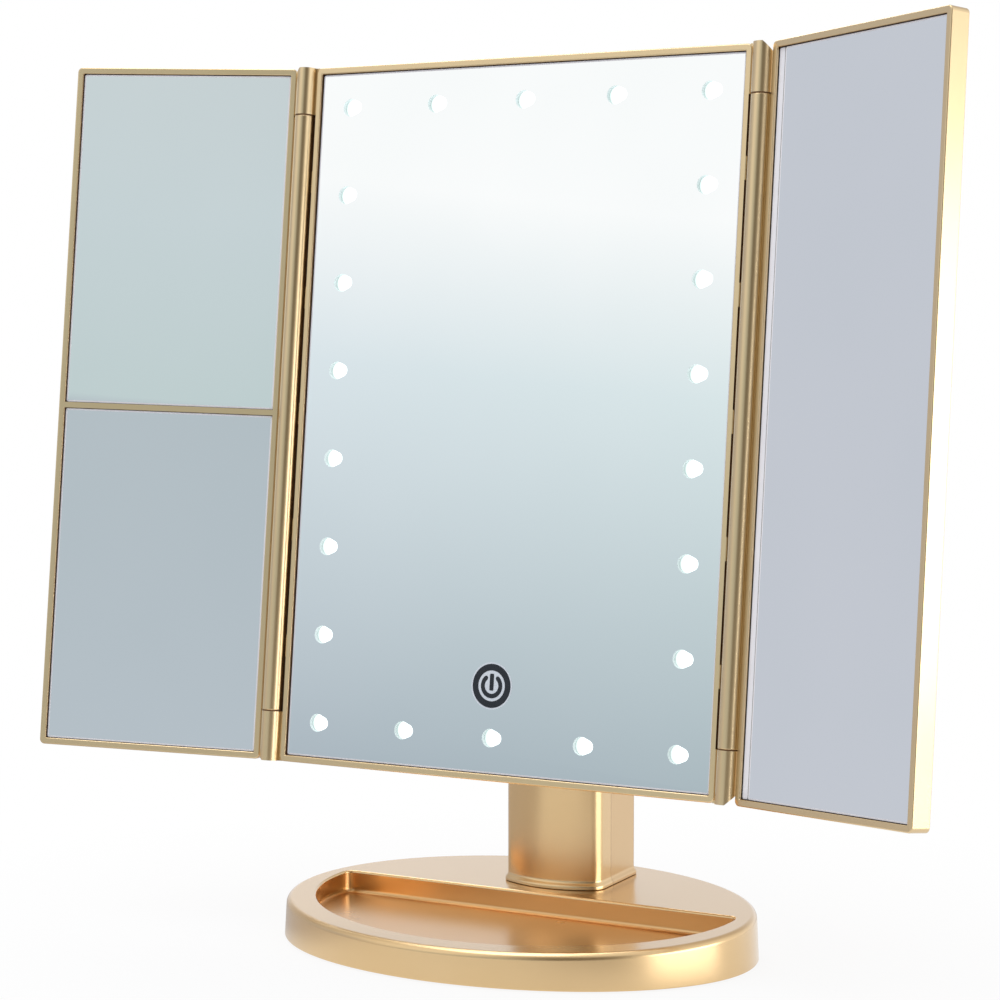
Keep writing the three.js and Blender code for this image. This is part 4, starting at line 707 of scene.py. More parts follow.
def pocket_outline():
    radius = POCKET_CORNER_RADIUS
    half_width = BASE_HALF_WIDTH - RIM_SIDE_WIDTH - radius
    half_depth = BASE_HALF_DEPTH - RIM_FRONT_WIDTH + POCKET_MIDDLE - radius
    corner = asin((POCKET_BACK - POCKET_MIDDLE - radius) / half_depth)

    def at(angle, direction):
        return (half_width * cos(angle) + radius * cos(direction),
                half_depth * sin(angle) + POCKET_MIDDLE + radius * sin(direction))

    def facing(angle):
        return atan2(sin(angle) / half_depth, cos(angle) / half_width)

    front_steps, corner_steps = 160, 12
    points = []
    for i in range(front_steps + 1):
        angle = pi - corner + (pi + 2 * corner) * i / front_steps
        points.append(at(angle, facing(angle)))
    last, first = facing(corner), facing(pi - corner)
    for i in range(1, corner_steps + 1):
        points.append(at(corner, last + (QUARTER - last) * i / corner_steps))
    for i in range(corner_steps):
        points.append(at(pi - corner, QUARTER + (first - QUARTER) * i / corner_steps))
    return points


def in_pocket(face):
    """Whether a face of the tray belongs to the pocket's floor or wall, which take the pocket's painted
    shade.
    """
    x, y, z = face.center
    across = x / (BASE_HALF_WIDTH - RIM_SIDE_WIDTH + NEAR)
    along = (y - POCKET_MIDDLE) / (BASE_HALF_DEPTH - RIM_FRONT_WIDTH + POCKET_MIDDLE + NEAR)
    within = hypot(across, along) < 1 and y < POCKET_BACK + NEAR
    return within and POCKET_FLOOR - NEAR < z < base_top(x, y) - POCKET_EDGE_RADIUS + NEAR


def tray():
    outer = oval(BASE_HALF_WIDTH, BASE_HALF_DEPTH)
    foot = PAD_THICKNESS / 2
    levels = [(-PAD_THICKNESS, foot), (-0.25, foot + 0.1), (0, foot + 0.5)]
    levels += [(-BASE_SIDE_DRAFT - inset, below(drop)) for inset, drop in rounding(BASE_EDGE_RADIUS, 8)]
    body = loft(outer, levels)
    pocket = pocket_outline()
    floor = [(-inset, POCKET_FLOOR + drop) for inset, drop in rounding(POCKET_FLOOR_FILLET, 8)]
    edge = [(inset, below(drop)) for inset, drop in rounding(POCKET_EDGE_RADIUS, 6)]
    hollow = loft(pocket, floor[::-1] + edge + [(POCKET_EDGE_RADIUS, below(-PAST))])
    wall = loft(pocket, [(BASE_WALL, POCKET_FLOOR - BASE_WALL), (BASE_WALL, below(-PAST))])
    inset = -BASE_WALL - PAD_THICKNESS
    cavity = loft(outer, [(inset, foot - PAST), (inset, below(BASE_WALL))])
    # The pocket's floor and wall take the darker gold, a painted shade.
    return paint(cut(body, hollow, cut(cavity, wall)), (GOLD, POCKET_SHADED_GOLD), in_pocket)


dress(tray(), "tray_base", "stand", ["base_tray"], "gold_front", bevel=0, sharp=40)


# Column
def column_outline():
    half = COLUMN_WIDTH / 2
    lean = atan2(4 * COLUMN_BULGE, COLUMN_WIDTH)
    front = (half - COLUMN_FRONT_RADIUS, COLUMN_FRONT + COLUMN_FRONT_RADIUS)
    end = (front[0] + COLUMN_FRONT_RADIUS * sin(lean), front[1] - COLUMN_FRONT_RADIUS * cos(lean))
    back = (half - COLUMN_BACK_RADIUS, COLUMN_BACK - COLUMN_BACK_RADIUS)
    nose = 2 * COLUMN_NOSE - end[1]
    points = []
    steps = 28
    for i in range(steps + 1):
        t = i / steps
        u = -end[0] * (1 - t) ** 2 + end[0] * t ** 2
        v = end[1] * (1 - t) ** 2 + 2 * nose * t * (1 - t) + end[1] * t ** 2
        points.append((u, v))
    points += arc(front, COLUMN_FRONT_RADIUS, lean - QUARTER, 0, 8)
    points += arc(back, COLUMN_BACK_RADIUS, 0, QUARTER, 6)
    points += arc((-back[0], back[1]), COLUMN_BACK_RADIUS, QUARTER, 2 * QUARTER, 6)
    points += arc((-front[0], front[1]), COLUMN_FRONT_RADIUS, 2 * QUARTER, 3 * QUARTER - lean, 8)
    return without_repeats(points)


def column_body():
    top = PIVOT_HEIGHT + COLUMN_TOP_RADIUS
    rise = SKIRT_HEIGHT / 8
    levels = [(SKIRT_FLARE - 0.15, below(-COLUMN_JOINT)), (SKIRT_FLARE, below(-COLUMN_JOINT - 0.15))]
    for i, share in enumerate(SKIRT_SHAPE):
        levels.append((SKIRT_FLARE * share, below(-SEAM - rise * (i + 1.5))))
    levels += [(0, below(-SEAM - SKIRT_HEIGHT - rise)), (0, top)]
    full = loft(column_outline(), levels)
    reach = COLUMN_TOP_RADIUS + SKIRT_FLARE + PAST
    side = [(PIVOT_Y - reach, 0), (PIVOT_Y + reach, 0), (PIVOT_Y + reach, PIVOT_HEIGHT / 2)]
    side.append((PIVOT_Y + COLUMN_TOP_RADIUS, PIVOT_HEIGHT / 2))
    side += arc((PIVOT_Y, PIVOT_HEIGHT), COLUMN_TOP_RADIUS, 0, pi, 64)
    side += [(PIVOT_Y - COLUMN_TOP_RADIUS, PIVOT_HEIGHT / 2), (PIVOT_Y - reach, PIVOT_HEIGHT / 2)]
    silhouette = side_slab(side, -COLUMN_WIDTH, COLUMN_WIDTH)
    fork = block(around(0, FORK_HALF_GAP), (0, COLUMN_BACK + PAST), (FORK_FLOOR, top + PAST))
    half = COLUMN_WIDTH / 2
    bolt_end = half - PIVOT_CAP_THICKNESS - SEAM

    def bore(radius, start, end):
        return rod(radius + SEAM, (start, PIVOT_Y, PIVOT_HEIGHT), (end, PIVOT_Y, PIVOT_HEIGHT))

    bores = (
        bore(BOLT_RADIUS, -half, half),
        bore(PIVOT_CAP_RADIUS, -half - PAST, -(bolt_end - BOLT_HEAD_HEIGHT - SEAM)),
        bore(PIVOT_CAP_RADIUS, bolt_end - NUT_HEIGHT - SEAM, half + PAST),
    )
    return cut(common(full, silhouette), fork, *bores)


def column_front():
    ends = (0, COLUMN_SEAM + SEAM / 2 - COLUMN_JOINT)
    front_half = block(around(0, COLUMN_WIDTH), ends, (0, 2 * PIVOT_HEIGHT))
    room = loft(column_outline(), [(-COLUMN_WALL, 0), (-COLUMN_WALL, FORK_FLOOR - COLUMN_WALL)])
    return cut(common(column_body(), front_half), room)


def column_rear():
    ends = (COLUMN_SEAM + SEAM / 2, COLUMN_BACK + COLUMN_WIDTH)
    rear_half = block(around(0, COLUMN_WIDTH), ends, (0, 2 * PIVOT_HEIGHT))
    half = COLUMN_WIDTH / 2 - COLUMN_WALL
    room = block(around(0, half), (0, COLUMN_BACK - COLUMN_WALL), (0, BAY_BOTTOM - BAY_WALL))
    past = COLUMN_BACK + PAST
    bay = block(around(0, BAY_HALF_WIDTH), (BAY_FRONT, past), (BAY_BOTTOM, BAY_TOP))
    ledge = BAY_HALF_WIDTH + DOOR_LEDGE
    low, high = BAY_BOTTOM - DOOR_LEDGE / 2, BAY_TOP + DOOR_LEDGE / 2
    seat = slab(rounded_rectangle(-ledge, ledge, low, high, DOOR_CORNER_RADIUS), DOOR_INNER, past)
    knob = (SWITCH_KNOB[0] + SWITCH_TRAVEL) / 2 + RUNNING_GAP
    rise = SWITCH_KNOB[1] / 2 + RUNNING_GAP
    slot = block(around(SWITCH_X, knob), (POWER_BOARD_BACK, past), around(SWITCH_MIDDLE, rise))
    width = SOCKET_SIZE[0] / 2 + SEAM
    ends = (SOCKET_BOTTOM - SEAM, SOCKET_BOTTOM + SOCKET_SIZE[2] + SEAM)
    socket = slab(rounded_rectangle(*around(SOCKET_X, width), *ends, 0.8), POWER_BOARD_BACK, past)
    return cut(common(column_body(), rear_half), room, bay, seat, slot, socket)


def door():
    half = BAY_HALF_WIDTH + DOOR_LEDGE - DOOR_TRAVEL_GAP
    bottom = BAY_BOTTOM - DOOR_LEDGE / 2 + DOOR_TRAVEL_GAP
    top = BAY_TOP + DOOR_LEDGE / 2 - DOOR_TRAVEL_GAP
    outline = rounded_rectangle(-half, half, bottom, top, DOOR_CORNER_RADIUS)
    grips = [
        block((-6, 6), (COLUMN_BACK - 0.5, COLUMN_BACK + PAST), (top - 6 - 3 * i - 1.2, top - 6 - 3 * i))
        for i in range(3)
    ]
    return cut(slab(outline, DOOR_INNER + SEAM, COLUMN_BACK), *grips)


dress(column_front(), "column_cover", "stand", ["column_front_cover"], "gold_front", bevel=0.1)
dress(column_rear(), "column_shell", "stand", ["column_rear_shell"], "gold_back", bevel=0.15)
dress(door(), "battery_door_cover", "battery_door", ["battery_door"], "gold_back")
for side, word in SIDES:
    outer = side * COLUMN_WIDTH / 2
    start, end = [(x, PIVOT_Y, PIVOT_HEIGHT) for x in (outer - side * PIVOT_CAP_THICKNESS, outer)]
    cap = rod(PIVOT_CAP_RADIUS, start, end, 64)
    dress(cap, f"cap_{word}", "stand", [f"pivot_cap_{word}"], "gold_back", bevel=0.35)


# Centre panel
def panel_ring(box, radius, profile):
    rings = []
    for inset, y in profile:
        outline = rounded_rectangle(*shrunk(box, inset), max(radius - inset, 0.35), 8)
        rings.append([(u, y, v) for u, v in outline])
    return skin(rings, closed=True)


def lip_profile(wall, lip_thickness, front, back):
    """Outer wall with rounded front and back edges, lip and inner wall, as (inset, depth)."""
    edge = rounding(FRONT_EDGE_RADIUS, 5)
    profile = [(inset, back - drop) for inset, drop in reversed(edge)]
    profile += [(inset, front + drop) for inset, drop in edge]
    profile += [(LIP_WIDTH - drop, front + inset) for inset, drop in rounding(lip_thickness * 0.4, 4)]
    inner = front + lip_thickness
    return profile + [(LIP_WIDTH, inner), (wall, inner), (wall, back)]


def shade_lip(thing, left, right, back, open_side=inf):
    """The lip's inner face takes painted shade, as the groove would shade it, but for the side that turns to
    the light.
    """

    def shaded(face):
        x, y, z = face.center
        inside = left - NEAR < x < right + NEAR and LIP_WIDTH - NEAR < z < PANEL_HEIGHT - LIP_WIDTH + NEAR
        return inside and y < back + NEAR and abs(face.normal.y) < 0.6 and face.normal.x < open_side

    return paint(thing, (FRAME_GOLD_PAINTED_LIGHT, PAINTED_SHADE), shaded)


def span(side, inner, outer):
    return (inner, outer) if side == RIGHT else (-outer, -inner)


def knuckle(side, bottom, top, free, into):
    """A fixed knuckle: round in front, flat-sided behind, its free end cut at a slant on the outer side."""
    middle = side * HINGE_X
    corner = KNUCKLE_BACK_RADIUS
    outline = list(arc((middle, 0), KNUCKLE_RADIUS, 2 * QUARTER, 4 * QUARTER, 32))
    outline += arc((middle + KNUCKLE_RADIUS - corner, KNUCKLE_BACK - corner), corner, 0, QUARTER, 4)
    outline += arc((middle - KNUCKLE_RADIUS + corner, KNUCKLE_BACK - corner), corner, QUARTER, 2 * QUARTER, 4)
    body = loft(outline, [(0, bottom), (0, top)])
    web = block(span(side, HALF - PANEL_WALL / 2, HINGE_X), (FRONT_EDGE_RADIUS, KNUCKLE_RADIUS),
                (bottom, top))
    reach, far = 4 * KNUCKLE_RADIUS, free - into * PAST
    slope = free + into * KNUCKLE_SLOPE * (reach - KNUCKLE_SLOPE_START)
    section = [(KNUCKLE_SLOPE_START, far), (reach, far), (reach, slope), (KNUCKLE_SLOPE_START, free)]
    outward = Vector((side * cos(radians(30)), sin(radians(30)), 0))
    across = Vector((-outward.y, outward.x, 0))
    axis = Vector((middle, 0, 0))
    wedge = skin([
        [axis + outward * s + across * reach * way + Vector((0, 0, z)) for s, z in section] for way in (-1, 1)
    ])
    return cut(join(body, web), wedge)


def centre_frame():
    profile = lip_profile(PANEL_WALL, LIP_THICKNESS, 0, PANEL_FRAME_DEPTH)
    ring = panel_ring(PANEL_BOX, PANEL_CORNER_RADIUS, profile)
    low, high = KNUCKLE_JOINTS
    knuckles = []
    for side in (LEFT, RIGHT):
        face = HALF - SIDE_RELIEF
        relief = block(span(side, face, HALF + PAST), (-PAST, PANEL_FRAME_DEPTH + PAST), (low, high))
        tabs = []
        for i in range(SNAP_COUNT):
            middle = PANEL_HEIGHT / 2 + (i - (SNAP_COUNT - 1) / 2) * SNAP_SPACING
            depth = (-2 * PAST, PANEL_FRAME_DEPTH + 2 * PAST)
            tabs.append(block(span(side, 0, face + SNAP_HEIGHT), depth, around(middle, SNAP_LENGTH / 2)))
        ring = cut(ring, cut(relief, *tabs))
        knuckles.append(knuckle(side, 0, low, 0, 1))
        knuckles.append(knuckle(side, high, PANEL_HEIGHT, PANEL_HEIGHT, -1))
    return shade_lip(join(ring, *knuckles), -HALF + LIP_WIDTH, HALF - LIP_WIDTH, LIP_THICKNESS)


def rear_cover():
    corner, soft = PANEL_CORNER_RADIUS + COVER_EDGE_RADIUS, COVER_EDGE_RADIUS / 2
    outline = rounded_rectangle(*PANEL_BOX, corner, 10)
    front = PANEL_FRAME_DEPTH + SEAM
    edge = [(-inset, PANEL_DEPTH - drop) for inset, drop in rounding(COVER_EDGE_RADIUS, 8)]
    wall = -PANEL_WALL
    inside = [(wall, front - PAST), (wall, COVER_INNER - soft), (wall - soft, COVER_INNER)]
    return cut(stack(outline, [(0, front)] + edge), stack(outline, inside))


dress(centre_frame(), "panel_frame", "head", ["centre_frame"], "gold_front", bevel=0.12)
for side, word in SIDES:
    reach = span(side, HALF - PANEL_WALL / 2, HALF + GUARD_REACH)
    front = BARREL_RADIUS + RUNNING_GAP
    guard = block(reach, (front, front + GUARD_THICKNESS), KNUCKLE_JOINTS)
    # The guard's front and sides take painted shade, the dark of the gap behind the barrel; its back is gold.
    paint(guard, (PAINTED_SHADE, FRAME_GOLD_PAINTED_LIGHT), lambda face: face.normal.y > 0.5)
    dress(guard, f"hinge_guard_{word}", "head", [], "gold_front", bevel=0.1)
    axis = side * HINGE_X
    # Washers in the gaps between knuckle and barrel, coloured with painted shade for the dark of the joint.
    for joint, way, end in ((KNUCKLE_JOINTS[0], 1, "lower"), (KNUCKLE_JOINTS[1], -1, "upper")):
        ends = sorted((joint - way * 0.05, joint + way * (RUNNING_GAP + 0.03)))
        disc = rod(BARREL_RADIUS - 0.12, *[(axis, 0, z) for z in ends])
        dress(disc, f"hinge_washer_{word}_{end}", "head", [], "black_plastic", PAINTED_SHADE, bevel=0.05)
dress(rear_cover(), "panel_rear_cover", "head", ["centre_rear_cover"], "gold_back", bevel=0.12)


def lamp_spots():
    spots = []
    for row in range(LAMP_ROWS):
        z = LAMP_TO_END + row * LAMP_ROW_SPACING
        spots += [(-LAMP_COLUMN_X, z), (LAMP_COLUMN_X, z)]
    gap = 2 * LAMP_COLUMN_X / (LAMP_ACROSS + 1)
    for z in (LAMP_TO_END, LAMP_TOP_ROW):
        spots += [(-LAMP_COLUMN_X + gap * (i + 1), z) for i in range(LAMP_ACROSS)]
    return spots


def pane(box, front):
    """A mirror pane whose front edge is ground off."""
    outline = rounded_rectangle(*box, PANE_CORNER_RADIUS, 5)
    levels = [(-GLASS_CHAMFER, front), (0, front + GLASS_CHAMFER_DEPTH), (0, front + GLASS_THICKNESS)]
    return stack(outline, levels)


def silvered(thing):
    """Silver on the faces square to the depth, ground glass on the chamfer, clear edge elsewhere."""

    def kind(face):
        depth = abs(face.normal.y)
        return 0 if depth > 0.999 else 1 if depth > 0.4 else 2

    return paint(thing, (SILVER, GROUND, GLASS_EDGE), kind)


def gasket(outer, inner, front):
    """Dark seat around a pane, seen in the gap between glass and lip, between two boxes; its dark tone is
    partly the seat's own and partly painted shade of the gap.
    """
    rings = []
    near, far = front + SEAT_FRONT, front + SEAT_BACK
    for edges, y in ((outer, near), (inner, near), (inner, far), (outer, far)):
        rings.append([(u, y, v) for u, v in rounded_rectangle(*edges, PANE_CORNER_RADIUS, 5)])
    return skin(rings, closed=True)


def window_outline(x, z, grow=0.0):
    """The clear spot of a lamp: round, drawn out a little to one side, as (u, v)."""
    radius = WINDOW_RADIUS + grow
    tail_at, tail_radius = WINDOW_TAIL[0], WINDOW_TAIL[1] + grow
    lean = acos((radius - tail_radius) / tail_at)
    middle = x + WINDOW_SHIFT
    return [
        *arc((middle, z), radius, lean, 2 * pi - lean, 32),
        *arc((middle + tail_at, z), tail_radius, -lean, lean, 16),
    ]


def centre_glass():
    inset = LIP_WIDTH + GLASS_GAP
    plate = pane(shrunk(PANEL_BOX, inset), GLASS_FRONT)
    holes = [slab(window_outline(x, z), GLASS_FRONT - PAST, GLASS_BACK + PAST) for x, z in lamp_spots()]
    plate = silvered(cut(plate, *holes))
    dress(plate, "panel_glass", "head", ["centre_mirror"], "mirror_glass", bevel=0, sharp=20)
    seat = gasket(shrunk(PANEL_BOX, PANEL_WALL + SEAM), shrunk(PANEL_BOX, inset + NEAR), GLASS_FRONT)
    dress(seat, "panel_glass_seat", "head", [], "black_plastic", GASKET_AND_SHADE, bevel=0)


def lamp_windows():
    """Shallow frosted domes behind the clear spots; the glow of each fades towards one side into painted
    shade.
    """
    points, faces, glow = [], [], []
    rings = 9
    for x, z in lamp_spots():
        outline = [Vector(p) for p in window_outline(x, z, -0.04)]
        sides = len(outline)
        middle = Vector((x + WINDOW_SHIFT, z))
        start = len(points)
        points.append((middle.x, GLASS_BACK - DOME_TOP, middle.y))
        for ring in range(1, rings + 1):
            share = ring / rings
            y = GLASS_BACK - DOME_TOP + DOME_DROP * share ** 2
            points += [(p.x, y, p.y) for p in (middle.lerp(q, share) for q in outline)]
        points += [(p.x, GLASS_BACK, p.y) for p in outline]
        points.append((middle.x, GLASS_BACK, middle.y))
        for i in range(sides):
            j = (i + 1) % sides
            faces.append((start, start + 1 + i, start + 1 + j))
            for ring in range(rings):
                a, b = start + 1 + ring * sides, start + 1 + (ring + 1) * sides
                faces.append((a + i, b + i, b + j, a + j))
            last = start + 1 + rings * sides
            faces.append((last + i, start + 1 + (rings + 1) * sides, last + j))
        # Glow falls off towards one side of each window into painted shade.
        for u, _, v in points[start:]:
            away = hypot(u - middle.x - GLOW_SHIFT, v - middle.y) - GLOW_RADIUS
            glow.append(1 - min(max(away / GLOW_FADE, 0), 1))
    windows = form(points, faces)
    windows.data.attributes.new("glow", "FLOAT", "POINT").data.foreach_set("value", glow)
    return windows


def annulus(inner, outer, start, end, front, back, steps=96):
    """A flat ring or arc about the touch spot, thick along Y."""
    rings = []
    whole = abs(end - start) > 359.9
    for i in range(steps if whole else steps + 1):
        angle = radians(start + (end - start) * i / steps)
        c, s = cos(angle), sin(angle)
        section = ((inner, front), (outer, front), (outer, back), (inner, back))
        rings.append([(TOUCH_SHIFT + r * c, y, TOUCH_HEIGHT + r * s) for r, y in section])
    return skin(rings, closed=whole)


def touch_sign():
    centre = (TOUCH_SHIFT, PRINT_BACK, TOUCH_HEIGHT)
    field = rod(TOUCH_RING[1] + 0.55, (TOUCH_SHIFT, PRINT_BACK - 0.03, TOUCH_HEIGHT), centre, 96)
    dress(field, "touch_print_field", "head", [], "mirror_glass", PALE_PRINT, bevel=0)
    front, back = PRINT_BACK - 0.06, PRINT_BACK - 0.035
    middle = sum(TOUCH_ARC) / 2
    half = (TOUCH_ARC[1] - TOUCH_ARC[0]) / 2
    marks = [annulus(*TOUCH_ARC, 90 + TOUCH_ARC_GAP, 450 - TOUCH_ARC_GAP, front, back)]
    for angle in (90 + TOUCH_ARC_GAP, 90 - TOUCH_ARC_GAP):
        x = TOUCH_SHIFT + middle * cos(radians(angle))
        z = TOUCH_HEIGHT + middle * sin(radians(angle))
        marks.append(rod(half * 0.9, (x, front, z), (x, back, z), 32))
    width = TOUCH_BAR_WIDTH / 2
    ends = [TOUCH_HEIGHT + end for end in TOUCH_BAR]
    marks.append(slab(rounded_rectangle(*around(TOUCH_SHIFT, width), *ends, 0.4), front, back))
    sign = join(annulus(*TOUCH_RING, 0, 360, front, back), *marks)
    dress(sign, "touch_print_marks", "head", [], "black_plastic", PRINT, bevel=0)


centre_glass()
dress(lamp_windows(), "lamp_windows", "head", [], "white_plastic", LAMP, bevel=0, merge=False)
touch_sign()


# Side panels
def wing_frame(divided):
    profile = lip_profile(WING_WALL, WING_LIP_THICKNESS, WING_FRONT, WING_BACK)
    box = (WING_INNER_EDGE, WING_OUTER_EDGE - WING_TRIM, 0, PANEL_HEIGHT)
    ring = panel_ring(box, WING_CORNER_RADIUS, profile)
    inner = WING_INNER_EDGE + WING_WALL / 2
    web = block((0, inner), (WING_FRONT + FRONT_EDGE_RADIUS, BARREL_RADIUS), BARREL_SPAN)
    bottom, top = BARREL_SPAN
    ends = rounding(BARREL_END_RADIUS, 6)
    levels = [(-inset, bottom + drop) for inset, drop in reversed(ends)]
    levels += [(-inset, top - drop) for inset, drop in ends]
    parts = [loft(oval(BARREL_RADIUS, BARREL_RADIUS, 64), levels), web]
    if divided:
        ends = around(PANEL_HEIGHT / 2, DIVIDER_WIDTH / 2)
        reach = (inner, WING_OUTER_EDGE - WING_WALL / 2)
        parts.append(block(reach, (WING_FRONT, WING_GLASS_FRONT - SEAM), ends))
    return shade_lip(join(ring, *parts), WING_INNER_EDGE + LIP_WIDTH, WING_OUTER_EDGE - LIP_WIDTH,
                     WING_FRONT + WING_LIP_THICKNESS, 0.5)


def wing_glass(name, body, node, low, high, strip=0.0):
    """A side mirror and its seat; low and high are the visible opening's ends and the solid's ends.

    A strip of ground glass, set off by a fine groove filled grey as painted shade, may run along the edge
    beside the hinge.
    """
    edge = WING_WALL + SEAM
    inset = LIP_WIDTH + GLASS_GAP
    left, bottom, top = WING_INNER_EDGE + inset, low[0] + GLASS_GAP, high[0] - GLASS_GAP
    if strip:
        band = pane((left, left + strip, bottom, top), WING_GLASS_FRONT)
        dress(band, f"{name}_strip", body, [], "mirror_glass", GROUND, bevel=0.05)
        left += strip + GLASS_GROOVE
    plate = silvered(pane((left, WING_OUTER_EDGE - inset, bottom, top), WING_GLASS_FRONT))
    dress(plate, name, body, [node], "mirror_glass", bevel=0, sharp=20)
    inside = inset + NEAR
    outer = (WING_INNER_EDGE + edge, WING_OUTER_EDGE - edge, low[1], high[1])
    inner = (WING_INNER_EDGE + inside, WING_OUTER_EDGE - inside, bottom + NEAR, top - NEAR)
    seat = gasket(outer, inner, WING_GLASS_FRONT)
    dress(seat, f"{name}_seat", body, [], "black_plastic", GASKET_AND_SHADE, bevel=0)
    if strip:
        # The groove is filled with a grey block: painted shade of the groove.
        groove = (left - GLASS_GROOVE - 0.1, left + 0.1)
        depth = (WING_GLASS_FRONT + 0.12, WING_GLASS_FRONT + GLASS_THICKNESS - 0.1)
        fill = block(groove, depth, (bottom, top))
        dress(fill, f"{name}_groove", body, [], "black_plastic", GROOVE_SHADE, bevel=0)


def wing_cover():
    outline = rounded_rectangle(*shrunk(WING_BOX, WING_WALL + SEAM), 1)
    return slab(outline, WING_BACK - WING_COVER_THICKNESS, WING_BACK)


for side, word in SIDES:
    body = f"{word}_wing"
    frame_form = wing_frame(side == LEFT)
    dress(frame_form, f"{word}_panel_frame", body, [f"{word}_wing_frame"], "gold_front", bevel=0.12)
    dress(wing_cover(), f"{word}_panel_cover", body, [f"{word}_wing_rear_cover"], "gold_back", bevel=0.25)

panel_low = (LIP_WIDTH, WING_WALL + SEAM)
panel_high = (PANEL_HEIGHT - LIP_WIDTH, PANEL_HEIGHT - WING_WALL - SEAM)
stem = DIVIDER_WIDTH / 4 + SEAM
below_divider = (PANEL_HEIGHT / 2 - DIVIDER_WIDTH / 2, PANEL_HEIGHT / 2 - stem)
above_divider = (PANEL_HEIGHT / 2 + DIVIDER_WIDTH / 2, PANEL_HEIGHT / 2 + stem)
wing_glass("left_lower_glass", "left_wing", "left_lower_mirror", panel_low, below_divider)
wing_glass("left_upper_glass", "left_wing", "left_upper_mirror", above_divider, panel_high)
wing_glass("right_glass", "right_wing", "right_mirror", panel_low, panel_high, GLASS_STRIP)


# Tilt arm
def tilt_arm():
    half, low = FLANGE_WIDTH / 2, PIVOT_ABOVE_EDGE - FLANGE_HEIGHT / 2
    outline = rounded_rectangle(*around(0, half), low, low + FLANGE_HEIGHT, FLANGE_RADIUS, 12)
    flange = slab(outline, ARM_FACE, ARM_FACE + FLANGE_THICKNESS)
    root = ARM_BOSS_RADIUS + 4
    root_y = ARM_FACE + FLANGE_THICKNESS / 2
    slope = atan2(root - ARM_BOSS_RADIUS, PIVOT_BEHIND_FACE - root_y)
    pivot = (PIVOT_BEHIND_FACE, PIVOT_ABOVE_EDGE)
    outline = [(root_y, PIVOT_ABOVE_EDGE - root)]
    outline += arc(pivot, ARM_BOSS_RADIUS, slope - QUARTER, QUARTER - slope, 48)
    outline.append((root_y, PIVOT_ABOVE_EDGE + root))
    tongue = side_slab(outline, -ARM_WIDTH / 2, ARM_WIDTH / 2)
    bore = rod(BOLT_RADIUS + SEAM, (-ARM_WIDTH, *pivot), (ARM_WIDTH, *pivot))
    return cut(join(flange, tongue), bore)


dress(tilt_arm(), "head_arm", "head", ["tilt_arm"], "gold_back", bevel=0.6)


# Small parts
def turned(profile, sides=48):
    """A body turned about the Z axis from (radius, height) pairs."""
    sections = [(max(radius, 0.02), z) for radius, z in profile]
    return skin([[(u, v, z) for u, v in oval(radius, radius, sides)] for radius, z in sections])


def screw(name, body, start, along, head_height, length):
    """A screw with a domed head, a cross recess and a threaded shank; start is the top of its head."""
    dome, head, core = head_height * 0.55, SCREW_HEAD_RADIUS, SCREW_RADIUS * 0.8
    profile = [(0, 0.02), (0.4 * head, 0.03), (0.8 * head, 0.3 * dome), (0.95 * head, 0.65 * dome)]
    profile += [(head, dome), (head, head_height), (SCREW_RADIUS * 0.86, head_height)]
    pitch, tip = 0.8, head_height + length
    z = head_height + 0.4
    while z + pitch < tip - 1.2:
        profile += [(core, z), (SCREW_RADIUS, z + 0.4 * pitch)]
        z += pitch
    profile += [(core, tip - 1.1), (0.3, tip)]
    thing = turned(profile, 32)
    long, thin, depth = 0.55 * head, 0.28, head_height * 0.6
    cross = [block(around(0, u), around(0, v), (-PAST, depth)) for u, v in ((long, thin), (thin, long))]
    thing = cut(thing, *cross)
    turn = Vector(along).to_track_quat("Z", "Y").to_matrix().to_4x4()
    thing.data.transform(Matrix.Translation(start) @ turn)
    dress(thing, f"{name}_dressed", body, [name], "steel", bevel=0.06)


def screws():
    spots = [(side * x, z) for x, z in FLANGE_SCREW_SPOTS for side in (LEFT, RIGHT)]
    head = ARM_FACE + FLANGE_THICKNESS + SEAM + SCREW_HEAD_HEIGHT
    length = head - SCREW_HEAD_HEIGHT - (PANEL_DEPTH - SCREW_GRIP + 5 * SEAM)
    for number, (x, z) in enumerate(spots, 1):
        start = (x, head, PIVOT_ABOVE_EDGE + z)
        screw(f"arm_screw_{number}", "head", start, (0, -1, 0), SCREW_HEAD_HEIGHT, length)
    spots = [(side * x, y) for x, y in BASE_POST_SPOTS for side in (LEFT, RIGHT)]
    length = BOTTOM_COVER_THICKNESS + SCREW_GRIP - THIN_HEAD_HEIGHT
    for number, (x, y) in enumerate(spots, 1):
        start = (x, y, PAD_THICKNESS + SEAM)
        screw(f"base_cover_screw_{number}", "stand", start, (0, 0, 1), THIN_HEAD_HEIGHT, length)
    for number, x in enumerate((-COLUMN_SCREW_X, COLUMN_SCREW_X), 1):
        start = (x, PIVOT_Y, base_top(x, PIVOT_Y) - BASE_WALL - SEAM - SCREW_HEAD_HEIGHT)
        screw(f"column_screw_{number}", "stand", start, (0, 0, 1), SCREW_HEAD_HEIGHT, BASE_WALL + SCREW_GRIP)


